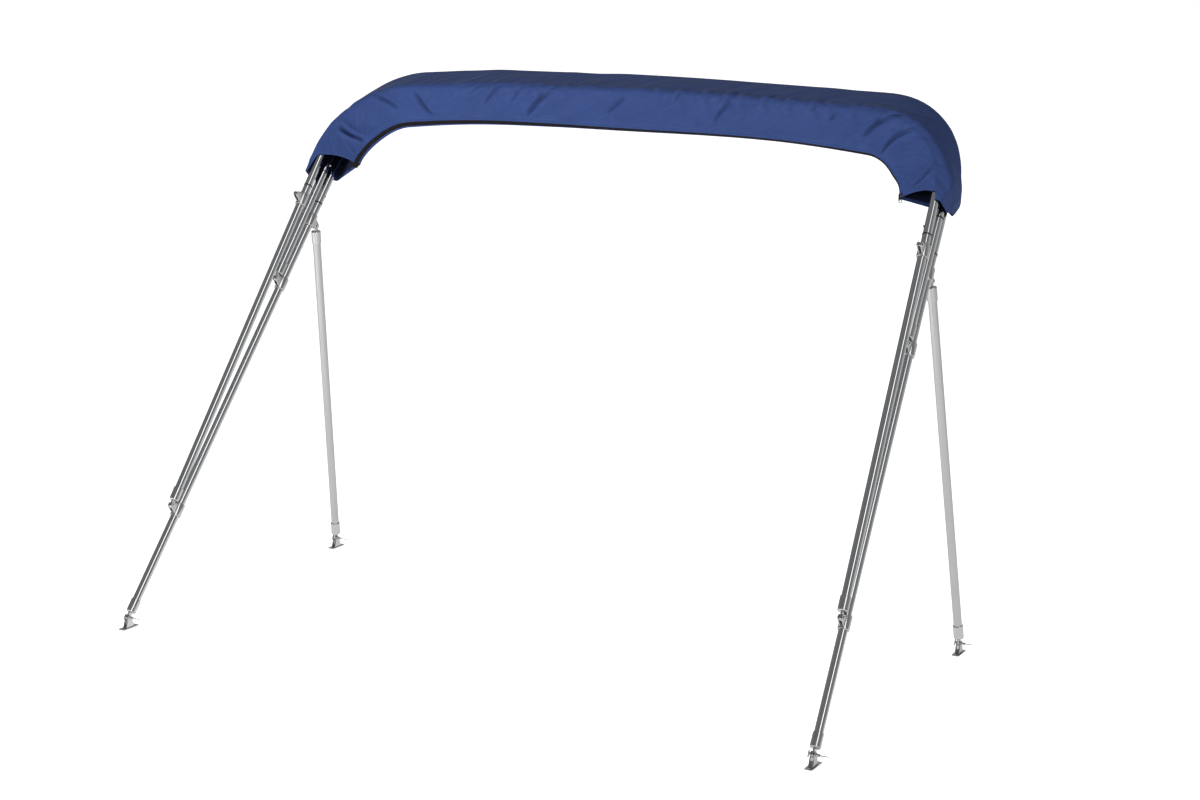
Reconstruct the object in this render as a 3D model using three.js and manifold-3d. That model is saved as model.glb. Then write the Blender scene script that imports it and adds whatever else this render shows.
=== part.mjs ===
// A three-bow bimini top, stowed: its folded bows stand leaning back on two main deck hinges
// and two support poles, and a zipped storage boot is drawn over the bow tops.
// Millimetres, +Z up. The front is -Y, the bows lean back towards +Y, and left and right
// (_l at -X, _r at +X) are as seen from the front.
import * as THREE from "three";
import { mergeVertices } from "three/addons/utils/BufferGeometryUtils.js";
import Module from "manifold-3d";

const wasm = await Module();
wasm.setup();
const { clamp, degToRad, lerp, smoothstep } = THREE.MathUtils;

// Driving dimensions
const GAP = 0.3; // between pieces that touch
const TUBE = { outer: 11.1, inner: 9.9, sides: 12 }; // 22.2 mm tube with a 1.2 mm wall
const PIN_HEIGHT = 28; // deck hinge pin above the deck
const LEAN = degToRad(37.3); // the main bow leans back from upright
const POLE_FOOT = { x: 968, y: 942 }; // pole hinge pins, from the middle of the main ones
const SPLAY = 0.0443; // the main legs spread outwards by this much for each mm down
const BEND = { halfWidth: 904.9, straight: 108, radius: 228, crownAngle: 0.067 };
const JAW_REACH = 30; // tube axis to jaw bolt
const PIVOT = { front: 312, middle: 1012, pole: 1219 }; // up the main bow from its pin
const LEG = { front: 977, middle: 354, main: 1275 }; // pivot or pin to the foot of the bow top
const RING_DROP = { front: 0, middle: 6, main: 0 }; // joint rings below that foot
const FRONT_TILT = degToRad(2.35); // the front bow opens from the main bow
const STRAP_SLIDE_DROP = 44; // strap slide on the front bow, below its joint ring

const CAP = { start: 14, length: 36, outer: 13.2, bore: 11.5, floor: 4, chamfer: 1.2 };
const TONGUE = { thickness: 4.4, tip: 7.5, halfWidth: 6 };
const HOLE_RADIUS = 3.4;
const BOLT = { radius: 3, headRadius: 5.2, headHeight: 2.6 };
const EAR = { gap: 3.2, thickness: 3, tip: 8.2, rootHalf: 16, rootAt: 6 };
const SLEEVE = { outer: 14.4, bore: 11.5, length: 36 };
const PLATE = { width: 20, length: 60, thickness: 3, corner: 4, screwHole: 2.6, screwAt: 23 };
const HINGE_EAR = { tip: 7.2, rootHalf: 15 };
const PIN_RING = { radius: 10, wire: 1.1, stemRadius: 4.2, stem: 10, turn: 0.35, droop: 3 };
const TOGGLE = { radius: 1.8, half: 8, reach: 6 };
const JOINT_RING = { outer: 11.7, thickness: 2 };

const CLOTH = 2; // thickness of the boot's cloth
const WRAP = 12.9; // bow axis to the middle of the cloth where the boot lies on a bow
const FOLD_RADIUS = 4; // middle of the cloth round the bottom fold
const SLIT = 8; // the zip's opening, between the cloth's two edges
// across: the tape's edges and creases, from the middle of the zip. over: how far its left
// end hangs out of the boot.
const TAPE = { across: [-8, -3, 3, 14], thickness: 1, over: 12 };
const COIL = { width: 3.6, height: 1.6 };
const SLIDER = { length: 13, width: 9, height: 3, tab: 9, tabThickness: 1.2, tabTip: 3, hole: 1.6 };
const PULL_RING = { radius: 4, wire: 0.6 };

// How the boot hangs, a row for each place along it from the left mouth to the right one.
// along: distance along the sleeve from the middle. depth and forward: the centre of the
// bottom fold, inside the front bow's axis and forward of the main bow's plane. zip: from the
// bottom fold up the front panel to the middle of the zip, or below 0 where the zip is turned
// under. slack: how far the cloth stands off the bows' outer side.
const BOOT_ROWS = [
  { along: -1140, depth: 105, forward: 38, zip: 4, slack: 28 },
  { along: -1020, depth: 105, forward: 38, zip: 4, slack: 17.5 },
  { along: -860, depth: 107, forward: 40, zip: 4, slack: 6.5 },
  { along: -690, depth: 92, forward: 41, zip: 3, slack: 2 },
  { along: -480, depth: 81, forward: 41, zip: 2, slack: 9 },
  { along: -240, depth: 82, forward: 41, zip: 0.5, slack: 4 },
  { along: 0, depth: 84, forward: 41, zip: -1.5, slack: 4 },
  { along: 420, depth: 79, forward: 41, zip: -3, slack: 2.5 },
  { along: 690, depth: 90, forward: 42, zip: -3, slack: 8 },
  { along: 860, depth: 105, forward: 43, zip: -3, slack: 11 },
  { along: 940, depth: 100, forward: 43, zip: -3, slack: 18 },
  { along: 1000, depth: 98, forward: 43, zip: -3, slack: 28 },
  { along: 1060, depth: 96, forward: 42, zip: -3, slack: 20 },
  { along: 1140, depth: 96, forward: 42, zip: -3, slack: 10 },
];

// Where each mouth's hem lies, along the sleeve: at the zip, on the outer side, at the back.
const HEM = {
  left: { zip: 1012, outer: 1070, back: 1050 },
  right: { zip: 1006, outer: 1042, back: 1003 },
};
const HEM_SPREAD = 170; // a hem's slant dies out over this length
const BACK_SLACK = 12; // how far the cloth hangs clear of the main legs' back

// Main pull folds of the front panel, as soft troughs. along and drop are the place along the
// sleeve and the distance down the panel from the front bow, at the fold's two ends.
const FOLDS = [
  { along: -905, drop: 20, toAlong: -820, toDrop: 90, depth: 4.5, width: 24 },
  { along: -690, drop: 12, toAlong: -560, toDrop: 80, depth: 4, width: 26 },
  { along: -330, drop: 10, toAlong: -410, toDrop: 60, depth: 3.5, width: 24 },
  { along: -205, drop: 8, toAlong: -330, toDrop: 70, depth: 4, width: 24 },
  { along: -70, drop: 8, toAlong: -210, toDrop: 78, depth: 5, width: 26 },
  { along: 60, drop: 20, toAlong: -40, toDrop: 65, depth: 3.5, width: 26 },
  { along: 265, drop: 14, toAlong: 200, toDrop: 64, depth: 4, width: 24 },
  { along: 560, drop: 20, toAlong: 400, toDrop: 70, depth: 3.5, width: 28 },
  { along: 840, drop: 14, toAlong: 690, toDrop: 76, depth: 5, width: 28 },
  { along: 930, drop: 40, toAlong: 860, toDrop: 88, depth: 4.5, width: 26 },
];
const FOLD_FADE = { bowFrom: 8, bowTo: 34, zipTo: 24 }; // folds die out towards bow and zip

const FINISH = {
  polished: { color: 0xd8dadc, roughness: 0.12, metalness: 1 },
  satin: { color: 0xc4c6c8, roughness: 0.35, metalness: 1 },
  fitting: { color: 0xb9bbbd, roughness: 0.22, metalness: 1 },
  ring: { color: 0x18181a, roughness: 0.6, metalness: 0 },
  cloth: { color: 0x27408b, roughness: 0.75, metalness: 0 },
  zip: { color: 0x1a1716, roughness: 0.7, metalness: 0 },
};
const SIDES = [
  { tag: "l", sign: -1 },
  { tag: "r", sign: 1 },
];

// Solid helpers

function toSolid(geometry) {
  const bare = geometry.clone();
  bare.deleteAttribute("normal");
  bare.deleteAttribute("uv");
  const merged = mergeVertices(bare, 1e-4);
  return new wasm.Manifold(
    new wasm.Mesh({
      numProp: 3,
      vertProperties: merged.attributes.position.array,
      triVerts: new Uint32Array(merged.index.array),
    }),
  );
}

function toGeometry(solid) {
  const mesh = solid.getMesh();
  const geometry = new THREE.BufferGeometry();
  geometry.setAttribute("position", new THREE.BufferAttribute(mesh.vertProperties, 3));
  geometry.setIndex(new THREE.BufferAttribute(mesh.triVerts, 1));
  geometry.computeVertexNormals();
  return geometry;
}

function join(...geometries) {
  return toGeometry(geometries.map(toSolid).reduce((sum, next) => sum.add(next)));
}

function cut(geometry, tool) {
  return toGeometry(toSolid(geometry).subtract(toSolid(tool)));
}

function addPiece(group, name, geometry, finish, place = [0, 0, 0]) {
  const mesh = new THREE.Mesh(geometry, new THREE.MeshStandardMaterial(FINISH[finish]));
  mesh.name = name;
  mesh.position.set(...place);
  group.add(mesh);
  return mesh;
}

// A group inside another one, at a place and leaning back by an angle.
function addFrame(parent, place, lean) {
  const group = new THREE.Group();
  group.position.set(...place);
  group.rotation.x = -lean;
  parent.add(group);
  return group;
}

function disc(radius) {
  const shape = new THREE.Shape();
  shape.absarc(0, 0, radius, 0, 2 * Math.PI);
  return shape;
}

function addHole(shape, radius, x = 0, y = 0) {
  const hole = new THREE.Path();
  hole.absarc(x, y, radius, 0, 2 * Math.PI);
  shape.holes.push(hole);
  return shape;
}

// A prism of the shape along Z. Each arc in the shape, long or short, gets `facets` facets.
function prism(shape, from, to, facets = 8) {
  const geometry = new THREE.ExtrudeGeometry(shape, {
    depth: to - from,
    bevelEnabled: false,
    curveSegments: facets / 2,
  });
  return geometry.translate(0, 0, from);
}

// A plate of a shape that is given in (Y, Z), with its thickness along X.
function plateAcross(shape, from, to) {
  return prism(shape, from, to).rotateZ(Math.PI / 2).rotateY(Math.PI / 2);
}

function rodAcross(radius, from, to, facets = 8) {
  return prism(disc(radius), from, to, facets).rotateY(Math.PI / 2);
}

function hollowTube(from, to) {
  return prism(addHole(disc(TUBE.outer), TUBE.inner), from, to, TUBE.sides);
}

// Bow tops

const SPLAY_ANGLE = Math.atan(SPLAY);
const BEND_STEPS = 9;
const CROWN_STEPS = 3;

// The bend's arc in a bow's own plane: X across, Z up the bow from its joint rings.
const ARC = {
  x: BEND.halfWidth - SPLAY * BEND.straight - BEND.radius * Math.cos(SPLAY_ANGLE),
  z: BEND.straight - BEND.radius * Math.sin(SPLAY_ANGLE),
  from: SPLAY_ANGLE,
  to: Math.PI / 2 - BEND.crownAngle,
};
const CROWN_RADIUS = BEND.radius + ARC.x / Math.sin(BEND.crownAngle);
const CROWN_Z = ARC.z + (BEND.radius - CROWN_RADIUS) * Math.cos(BEND.crownAngle);
const CROWN_HALF = CROWN_RADIUS * BEND.crownAngle; // length of half the crown
const BEND_LENGTH = BEND.radius * (ARC.to - ARC.from);

function onBend(angle) {
  return [ARC.x + BEND.radius * Math.cos(angle), ARC.z + BEND.radius * Math.sin(angle)];
}

function onCrown(angle) {
  return [CROWN_RADIUS * Math.sin(angle), CROWN_Z + CROWN_RADIUS * Math.cos(angle)];
}

// The middle line of a bow top from its left joint to its right one: straight, bend, crowned
// top, bend, straight. Its stations lie closer together in the bends.
class BowLine extends THREE.Curve {
  constructor(start) {
    super();
    this.half = [[BEND.halfWidth - SPLAY * start, start]];
    for (let i = 0; i <= BEND_STEPS; i++) {
      this.half.push(onBend(lerp(ARC.from, ARC.to, i / BEND_STEPS)));
    }
    for (let i = 1; i <= CROWN_STEPS; i++) {
      this.half.push(onCrown(BEND.crownAngle * (1 - i / CROWN_STEPS)));
    }
    this.last = 2 * (this.half.length - 1);
  }

  at(index) {
    const right = index > this.last / 2;
    const [x, z] = this.half[right ? this.last - index : index];
    return new THREE.Vector3(right ? x : -x, 0, z);
  }

  getPoint(t, target = new THREE.Vector3()) {
    const place = t * this.last;
    const index = Math.min(Math.floor(place), this.last - 1);
    return target.copy(this.at(index)).lerp(this.at(index + 1), place - index);
  }

  getUtoTmapping(u) {
    return u;
  }
}

function bowTop(ringDrop) {
  const line = new BowLine(JOINT_RING.thickness / 2 + GAP - ringDrop);
  return new THREE.ExtrudeGeometry(disc(TUBE.outer), {
    steps: line.last,
    extrudePath: line,
    curveSegments: TUBE.sides / 2,
  });
}

// Fittings. Each pin or bolt lies along X.

// A cap over a tube's end with a tongue beyond it. Its pin hole is at the origin, and the tube
// runs up Z, tipped sideways by `tip`.
function eyeEnd(tip) {
  const end = CAP.start + CAP.length;
  const profile = [
    [0, CAP.start],
    [CAP.outer - CAP.chamfer, CAP.start],
    [CAP.outer, CAP.start + CAP.chamfer],
    [CAP.outer, end],
    [CAP.bore, end],
    [CAP.bore, CAP.start + CAP.floor],
    [0, CAP.start + CAP.floor],
  ].map(([x, y]) => new THREE.Vector2(x, y));
  const cup = new THREE.LatheGeometry(profile, TUBE.sides).rotateX(Math.PI / 2);
  cup.rotateZ(Math.PI / TUBE.sides).rotateY(tip);
  const tongue = new THREE.Shape();
  tongue.moveTo(TONGUE.halfWidth, CAP.start + CAP.floor / 2);
  tongue.lineTo(-TONGUE.halfWidth, CAP.start + CAP.floor / 2);
  tongue.absarc(0, 0, TONGUE.tip, Math.PI, 2 * Math.PI);
  addHole(tongue, HOLE_RADIUS);
  return join(cup, plateAcross(tongue, -TONGUE.thickness / 2, TONGUE.thickness / 2));
}

// The two plates of a jaw, one on each side of the tongue.
function ears(shape) {
  const far = EAR.gap + EAR.thickness;
  return [plateAcross(shape, -far, -EAR.gap), plateAcross(shape, EAR.gap, far)];
}

// A jaw slide: a sleeve on the tube, with two ears that hold a bolt in front of it.
function jawSlide(tip) {
  const ear = new THREE.Shape();
  ear.moveTo(-EAR.rootAt, EAR.rootHalf);
  ear.lineTo(-JAW_REACH, EAR.tip);
  ear.absarc(-JAW_REACH, 0, EAR.tip, Math.PI / 2, 1.5 * Math.PI);
  ear.lineTo(-EAR.rootAt, -EAR.rootHalf);
  addHole(ear, HOLE_RADIUS, -JAW_REACH);
  const half = SLEEVE.length / 2;
  const past = half + TONGUE.thickness; // the bore's tool runs out past both ends
  const sleeve = prism(disc(SLEEVE.outer), -half, half, TUBE.sides).rotateY(tip);
  const bore = prism(disc(SLEEVE.bore), -past, past, TUBE.sides).rotateY(tip);
  return cut(join(sleeve, ...ears(ear)), bore);
}

// A bolt across a jaw, with a round head on one side and a nut on the other.
function jawBolt() {
  const face = EAR.gap + EAR.thickness + GAP;
  const head = rodAcross(BOLT.headRadius, -face - BOLT.headHeight, -face);
  const nut = rodAcross(BOLT.headRadius, face, face + BOLT.headHeight, 6);
  return join(rodAcross(BOLT.radius, -face - 1, face + 1), head, nut);
}

// A deck hinge: a plate for two screws, with two ears that hold the quick-release pin. Its
// origin is on the deck, below the pin.
function deckHinge() {
  const x = PLATE.width / 2 - PLATE.corner;
  const y = PLATE.length / 2 - PLATE.corner;
  const outline = new THREE.Shape();
  outline.absarc(x, y, PLATE.corner, 0, Math.PI / 2);
  outline.absarc(-x, y, PLATE.corner, Math.PI / 2, Math.PI);
  outline.absarc(-x, -y, PLATE.corner, Math.PI, 1.5 * Math.PI);
  outline.absarc(x, -y, PLATE.corner, 1.5 * Math.PI, 2 * Math.PI);
  addHole(outline, PLATE.screwHole, 0, PLATE.screwAt);
  addHole(outline, PLATE.screwHole, 0, -PLATE.screwAt);
  const ear = new THREE.Shape();
  ear.moveTo(-HINGE_EAR.rootHalf, PLATE.thickness / 2);
  ear.lineTo(HINGE_EAR.rootHalf, PLATE.thickness / 2);
  ear.absarc(0, PIN_HEIGHT, HINGE_EAR.tip, 0, Math.PI);
  addHole(ear, HOLE_RADIUS, 0, PIN_HEIGHT);
  return join(prism(outline, 0, PLATE.thickness, 6), ...ears(ear));
}

// A quick-release pin: a shaft with a toggle on one end, and on the other a stem that holds a
// pull ring.
function releasePin() {
  const face = EAR.gap + EAR.thickness + GAP;
  const shaft = rodAcross(BOLT.radius, -face - TOGGLE.reach, face + 1);
  const toggle = prism(disc(TOGGLE.radius), -TOGGLE.half, TOGGLE.half);
  toggle.translate(-face - TOGGLE.reach + 1, 0, 0);
  const stem = rodAcross(PIN_RING.stemRadius, face, face + PIN_RING.stem);
  const ring = new THREE.TorusGeometry(PIN_RING.radius, PIN_RING.wire, 5, 14);
  const ringX = face + PIN_RING.stem + PIN_RING.radius - PIN_RING.wire;
  ring.rotateX(Math.PI / 2 - PIN_RING.turn).translate(ringX, 0, -PIN_RING.droop);
  return join(shaft, toggle, stem, ring);
}

// The boot. Its cross planes stand square to the front bow. In them, f is forward of the main
// bow's plane and o is outward from the front bow's axis.

const FRONT_RING = {
  s: PIVOT.front + LEG.front * Math.cos(FRONT_TILT),
  f: JAW_REACH + LEG.front * Math.sin(FRONT_TILT),
};
const RING_S = { middle: PIVOT.middle + LEG.middle, main: LEG.main };

// The front bow's axis at a distance along it from the middle, and the outward direction
// there, in X and in S, which runs up the main bow from its pins.
function spine(along) {
  const side = along < 0 ? -1 : 1;
  const intoBend = Math.max(Math.abs(along) - CROWN_HALF, 0);
  const down = Math.max(intoBend - BEND_LENGTH, 0);
  let angle = Math.max(ARC.to - intoBend / BEND.radius, ARC.from);
  let [x, z] = onBend(angle);
  if (intoBend === 0) {
    angle = Math.PI / 2 - Math.abs(along) / CROWN_RADIUS;
    [x, z] = onCrown(Math.PI / 2 - angle);
  }
  x += down * Math.sin(SPLAY_ANGLE);
  z -= down * Math.cos(SPLAY_ANGLE);
  return { x: side * x, s: FRONT_RING.s + z, outX: side * Math.cos(angle), outS: Math.sin(angle) };
}

// How far a point lies outside the line of a bow whose joint rings are at ringS.
function outsideBow(x, s, ringS) {
  const wide = Math.abs(x) - ARC.x;
  const high = s - ringS - ARC.z;
  const angle = Math.atan2(high, wide);
  if (wide < 0 || angle > ARC.to) return Math.hypot(x, s - ringS - CROWN_Z) - CROWN_RADIUS;
  if (angle > ARC.from) return Math.hypot(wide, high) - BEND.radius;
  return Math.abs(x) - (BEND.halfWidth - SPLAY * (s - ringS));
}

// How far out from the spine a bow's axis crosses the plane, found by halving.
function crossing(place, ringS) {
  let inner = -120;
  let outer = 200;
  for (let i = 0; i < 24; i++) {
    const o = (inner + outer) / 2;
    const outside = outsideBow(place.x + o * place.outX, place.s + o * place.outS, ringS);
    if (outside < 0) inner = o;
    else outer = o;
  }
  return inner;
}

// The boot's row at a place, on a smooth curve through the table's rows.
function bootRow(along) {
  const next = BOOT_ROWS.findIndex((row) => row.along > along);
  const [before, a, b, after] = BOOT_ROWS.slice(Math.max(next - 2, 0)).concat(BOOT_ROWS.at(-1));
  const run = b.along - a.along;
  const t = (along - a.along) / run;
  const row = {};
  for (const key of ["depth", "forward", "zip", "slack"]) {
    const startSlope = ((b[key] - before[key]) / (b.along - before.along)) * run;
    const endSlope = ((after[key] - a[key]) / (after.along - a.along)) * run;
    const straight = lerp(a[key], b[key], t * t * (3 - 2 * t));
    row[key] = straight + t * (1 - t) * ((1 - t) * startSlope - t * endSlope);
  }
  return row;
}

// The rounds that the cloth passes over, from the bottom fold up the front and over the bows.
// steps divides a round and span the flat after it. outer and back say how far a round
// follows those parts of the hem.
function roundsAt(place, row) {
  const { slack } = row;
  const leg = 1 - place.outS;
  const frontF = FRONT_RING.f + (place.s - FRONT_RING.s) * Math.tan(FRONT_TILT);
  const middle = crossing(place, RING_S.middle);
  const main = crossing(place, RING_S.main);
  const bow = { radius: WRAP, outer: 0, back: 0 };
  return [
    { f: row.forward, o: -row.depth, radius: FOLD_RADIUS, outer: 0, back: 0.3, steps: 3, span: 4 },
    { ...bow, f: frontF, o: 0, outer: 0.45, steps: 2, span: 1 },
    { ...bow, f: frontF - 0.2, o: slack, outer: 0.6, steps: 2, span: 1 },
    { ...bow, f: JAW_REACH, o: middle + slack, outer: 1, steps: 4, span: 1 },
    { ...bow, f: 0, o: main + slack, outer: 0.7, back: 0.3, steps: 2, span: 1 },
    { ...bow, f: -BACK_SLACK * leg, o: main - 1 - 2 * leg, back: 1, steps: 1, span: 2 },
  ];
}

// The outward direction of the flat that runs from round a to round b.
function flatDirection(a, b) {
  const heading = Math.atan2(b.o - a.o, b.f - a.f);
  return heading - Math.acos((a.radius - b.radius) / Math.hypot(b.o - a.o, b.f - a.f));
}

function onRound(round, angle) {
  const nf = Math.cos(angle);
  const no = Math.sin(angle);
  const { outer, back } = round;
  return { f: round.f + round.radius * nf, o: round.o + round.radius * no, nf, no, outer, back };
}

function mix(a, b, t) {
  const point = { nf: a.nf, no: a.no };
  for (const key of ["f", "o", "outer", "back"]) point[key] = lerp(a[key], b[key], t);
  return point;
}

// The rounds of one cross plane, the outward direction of the flat after each, and the two
// ends of the front panel, which is the first flat.
function frontPanel(along) {
  const place = spine(along);
  const row = bootRow(along);
  const rounds = roundsAt(place, row);
  const flats = rounds.map((round, i) => flatDirection(round, rounds[(i + 1) % rounds.length]));
  const start = onRound(rounds[0], flats[0]);
  const end = onRound(rounds[1], flats[0]);
  const height = Math.hypot(end.f - start.f, end.o - start.o);
  return { place, zip: row.zip, rounds, flats, start, end, height };
}

// A point on the front panel at a height on it, or below 0 a point round the bottom fold.
function onPanel(panel, up) {
  if (up < 0) return onRound(panel.rounds[0], panel.flats[0] + up / FOLD_RADIUS);
  return mix(panel.start, panel.end, up / panel.height);
}

// The cloth's points in a cross plane, from the zip's front edge up, over the bows and down
// to the zip's back edge. Points of the front panel hold `up`, their height on it.
function section(along) {
  const panel = frontPanel(along);
  const { place, zip, rounds, flats, height } = panel;
  const ups = [zip + SLIT / 2];
  const clear = zip + TAPE.across.at(-1) + CLOTH;
  for (let k = 0; k < rounds[0].span; k++) ups.push(lerp(clear, height, k / rounds[0].span));
  const points = ups.map((up) => ({ ...onPanel(panel, up), up, drop: height - up, clear }));
  const count = rounds.length;
  const backEdge = zip - SLIT / 2;
  let from = flats[0];
  for (let i = 1; i <= count; i++) {
    const round = rounds[i % count];
    let to = flats[i % count];
    while (to < from - 0.5) to += 2 * Math.PI;
    const [start, end] = [onRound(round, to), onRound(rounds[(i + 1) % count], to)];
    const last = i === count;
    if (last) to += Math.min(backEdge - 1, 0) / FOLD_RADIUS;
    for (let k = 0; k <= round.steps; k++) {
      points.push(onRound(round, lerp(from, to, k / round.steps)));
    }
    for (let k = 1; k < round.span && !last; k++) points.push(mix(start, end, k / round.span));
    from = to;
  }
  points.push(onPanel(panel, backEdge));
  return { place, points };
}

// How deep the pull folds are at a place on the front panel.
function troughAt(along, point) {
  if (point.up === undefined) return 0;
  const { drop } = point;
  const nearBow = smoothstep(drop, FOLD_FADE.bowFrom, FOLD_FADE.bowTo);
  const nearZip = smoothstep(point.up - point.clear, 0, FOLD_FADE.zipTo);
  let depth = 0;
  for (const fold of FOLDS) {
    const run = fold.toAlong - fold.along;
    const fall = fold.toDrop - fold.drop;
    const reach = (along - fold.along) * run + (drop - fold.drop) * fall;
    const t = clamp(reach / (run * run + fall * fall), 0, 1);
    const off = Math.hypot(along - fold.along - t * run, drop - fold.drop - t * fall);
    depth += fold.depth * Math.exp(-((off / fold.width) ** 2));
  }
  return depth * nearBow * nearZip;
}

// A section's point in the main bow's frame, moved out by `out` along its outward direction.
function inBowFrame(place, point, out) {
  const f = point.f + out * point.nf;
  const o = point.o + out * point.no;
  return [place.x + o * place.outX, -f, place.s + o * place.outS];
}

// The stations along the sleeve, closer in the bends.
function stations() {
  const crown = { steps: 42, end: CROWN_HALF };
  const bend = { steps: 11 };
  const places = [];
  for (let i = 0; i <= crown.steps; i++) {
    places.push(lerp(-crown.end, crown.end, i / crown.steps));
  }
  for (let i = 1; i <= bend.steps; i++) {
    places.unshift(-lerp(crown.end, HEM.left.zip, i / bend.steps));
    places.push(lerp(crown.end, HEM.right.zip, i / bend.steps));
  }
  return places;
}

// Slants the sleeve's ends: a point on the outer side or the back goes further than the zip.
function slanted(along, point) {
  const hem = along < 0 ? HEM.left : HEM.right;
  const share = Math.max(1 - (hem.zip - Math.abs(along)) / HEM_SPREAD, 0);
  const more = point.outer * (hem.outer - hem.zip) + point.back * (hem.back - hem.zip);
  return along + Math.sign(along) * share * share * more;
}

// A closed solid from two grids of the same size, the outer face and the inner one.
function sheetSolid(outer, inner) {
  const rows = outer.length;
  const columns = outer[0].length;
  const position = [...outer.flat(2), ...inner.flat(2)];
  const index = [];
  const at = (side, row, column) => (side * rows + row) * columns + column;
  const quad = (a, b, c, d) => index.push(a, b, c, a, c, d);
  for (let i = 0; i < rows - 1; i++) {
    for (let j = 0; j < columns - 1; j++) {
      quad(at(0, i, j), at(0, i + 1, j), at(0, i + 1, j + 1), at(0, i, j + 1));
      quad(at(1, i, j), at(1, i, j + 1), at(1, i + 1, j + 1), at(1, i + 1, j));
    }
    const last = columns - 1;
    quad(at(0, i, 0), at(1, i, 0), at(1, i + 1, 0), at(0, i + 1, 0));
    quad(at(0, i, last), at(0, i + 1, last), at(1, i + 1, last), at(1, i, last));
  }
  const end = rows - 1;
  for (let j = 0; j < columns - 1; j++) {
    quad(at(0, 0, j), at(0, 0, j + 1), at(1, 0, j + 1), at(1, 0, j));
    quad(at(0, end, j), at(1, end, j), at(1, end, j + 1), at(0, end, j + 1));
  }
  const geometry = new THREE.BufferGeometry();
  geometry.setAttribute("position", new THREE.Float32BufferAttribute(position, 3));
  geometry.setIndex(index);
  geometry.computeVertexNormals();
  return geometry;
}

function bootCloth() {
  const faces = [CLOTH / 2, -CLOTH / 2].map((out) =>
    stations().map((along) =>
      section(along).points.map((point, j) => {
        const there = slanted(along, point);
        const cross = section(there);
        const moved = cross.points[j];
        return inBowFrame(cross.place, moved, out - troughAt(there, moved));
      }),
    ),
  );
  return sheetSolid(...faces);
}

// A place on the front panel at a height above the zip, with the slant of the hems.
function nearZip(along, up) {
  const level = frontPanel(along);
  const panel = frontPanel(slanted(along, onPanel(level, level.zip + up)));
  return { place: panel.place, point: onPanel(panel, panel.zip + up) };
}

// A band along the zip: its lines across, measured up from the zip, and its two faces,
// measured out from the middle of the cloth. Its left end runs on by `over`.
function zipBand(across, outFace, inFace, over) {
  const places = stations();
  if (over > 0) places.unshift(places[0] - over);
  const faces = [outFace, inFace].map((out) =>
    places.map((along) =>
      across.map((up) => {
        const { place, point } = nearZip(along, up);
        return inBowFrame(place, point, out);
      }),
    ),
  );
  return sheetSolid(...faces);
}

const TAPE_TOP = -CLOTH / 2 - GAP;

// The slider's body with its pull tab. X is along the zip, Y up the panel and Z out of it.
const TAB_HOLE = [SLIDER.length / 2 + SLIDER.tab, SLIDER.height + SLIDER.hole / 2];

function zipSlider() {
  const body = prism(disc(SLIDER.width / 2), 0, SLIDER.height);
  body.scale(SLIDER.length / SLIDER.width, 1, 1);
  const tab = new THREE.Shape();
  tab.moveTo(0, SLIDER.height / 2);
  tab.lineTo(0, TAB_HOLE[1] + SLIDER.tabTip);
  tab.absarc(...TAB_HOLE, SLIDER.tabTip, Math.PI / 2, -Math.PI / 2, true);
  addHole(tab, SLIDER.hole, ...TAB_HOLE);
  const plate = prism(tab, -SLIDER.tabThickness / 2, SLIDER.tabThickness / 2);
  return join(body, plate.rotateX(Math.PI / 2));
}

function aim(mesh, xAxis, yAxis) {
  const zAxis = xAxis.clone().cross(yAxis).normalize();
  const basis = new THREE.Matrix4().makeBasis(xAxis, zAxis.clone().cross(xAxis), zAxis);
  mesh.quaternion.setFromRotationMatrix(basis);
  return mesh;
}

// The slider at the zip's right end, and its pull ring, which hangs from the tab's hole.
function addSlider(bows) {
  const along = HEM.right.zip - SLIDER.length / 2 - 2 * SLIDER.tabThickness;
  const at = (step, up) => {
    const { place, point } = nearZip(along + step, up);
    return new THREE.Vector3(...inBowFrame(place, point, CLOTH / 2 + 2 * GAP));
  };
  const seat = at(0, 0);
  const alongZip = at(1, 0).sub(seat).normalize();
  const upPanel = at(0, 1).sub(seat).normalize();
  const slider = addPiece(bows, "zip_slider", zipSlider(), "fitting", seat.toArray());
  aim(slider, alongZip, upPanel);
  const tabHole = new THREE.Vector3(TAB_HOLE[0], 0, TAB_HOLE[1]);
  tabHole.applyQuaternion(slider.quaternion).add(seat);
  const down = new THREE.Vector3(0, Math.sin(LEAN), -Math.cos(LEAN));
  down.addScaledVector(upPanel, -down.dot(upPanel)).normalize();
  const hang = SLIDER.hole - PULL_RING.wire - GAP + PULL_RING.radius;
  const centre = tabHole.addScaledVector(down, hang);
  const ring = new THREE.TorusGeometry(PULL_RING.radius, PULL_RING.wire, 5, 12);
  aim(addPiece(bows, "zip_pull_ring", ring, "fitting", centre.toArray()), upPanel, down.negate());
}

// Assembly

const mainHalfWidth = (s) => BEND.halfWidth + SPLAY * (LEG.main - s);

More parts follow.
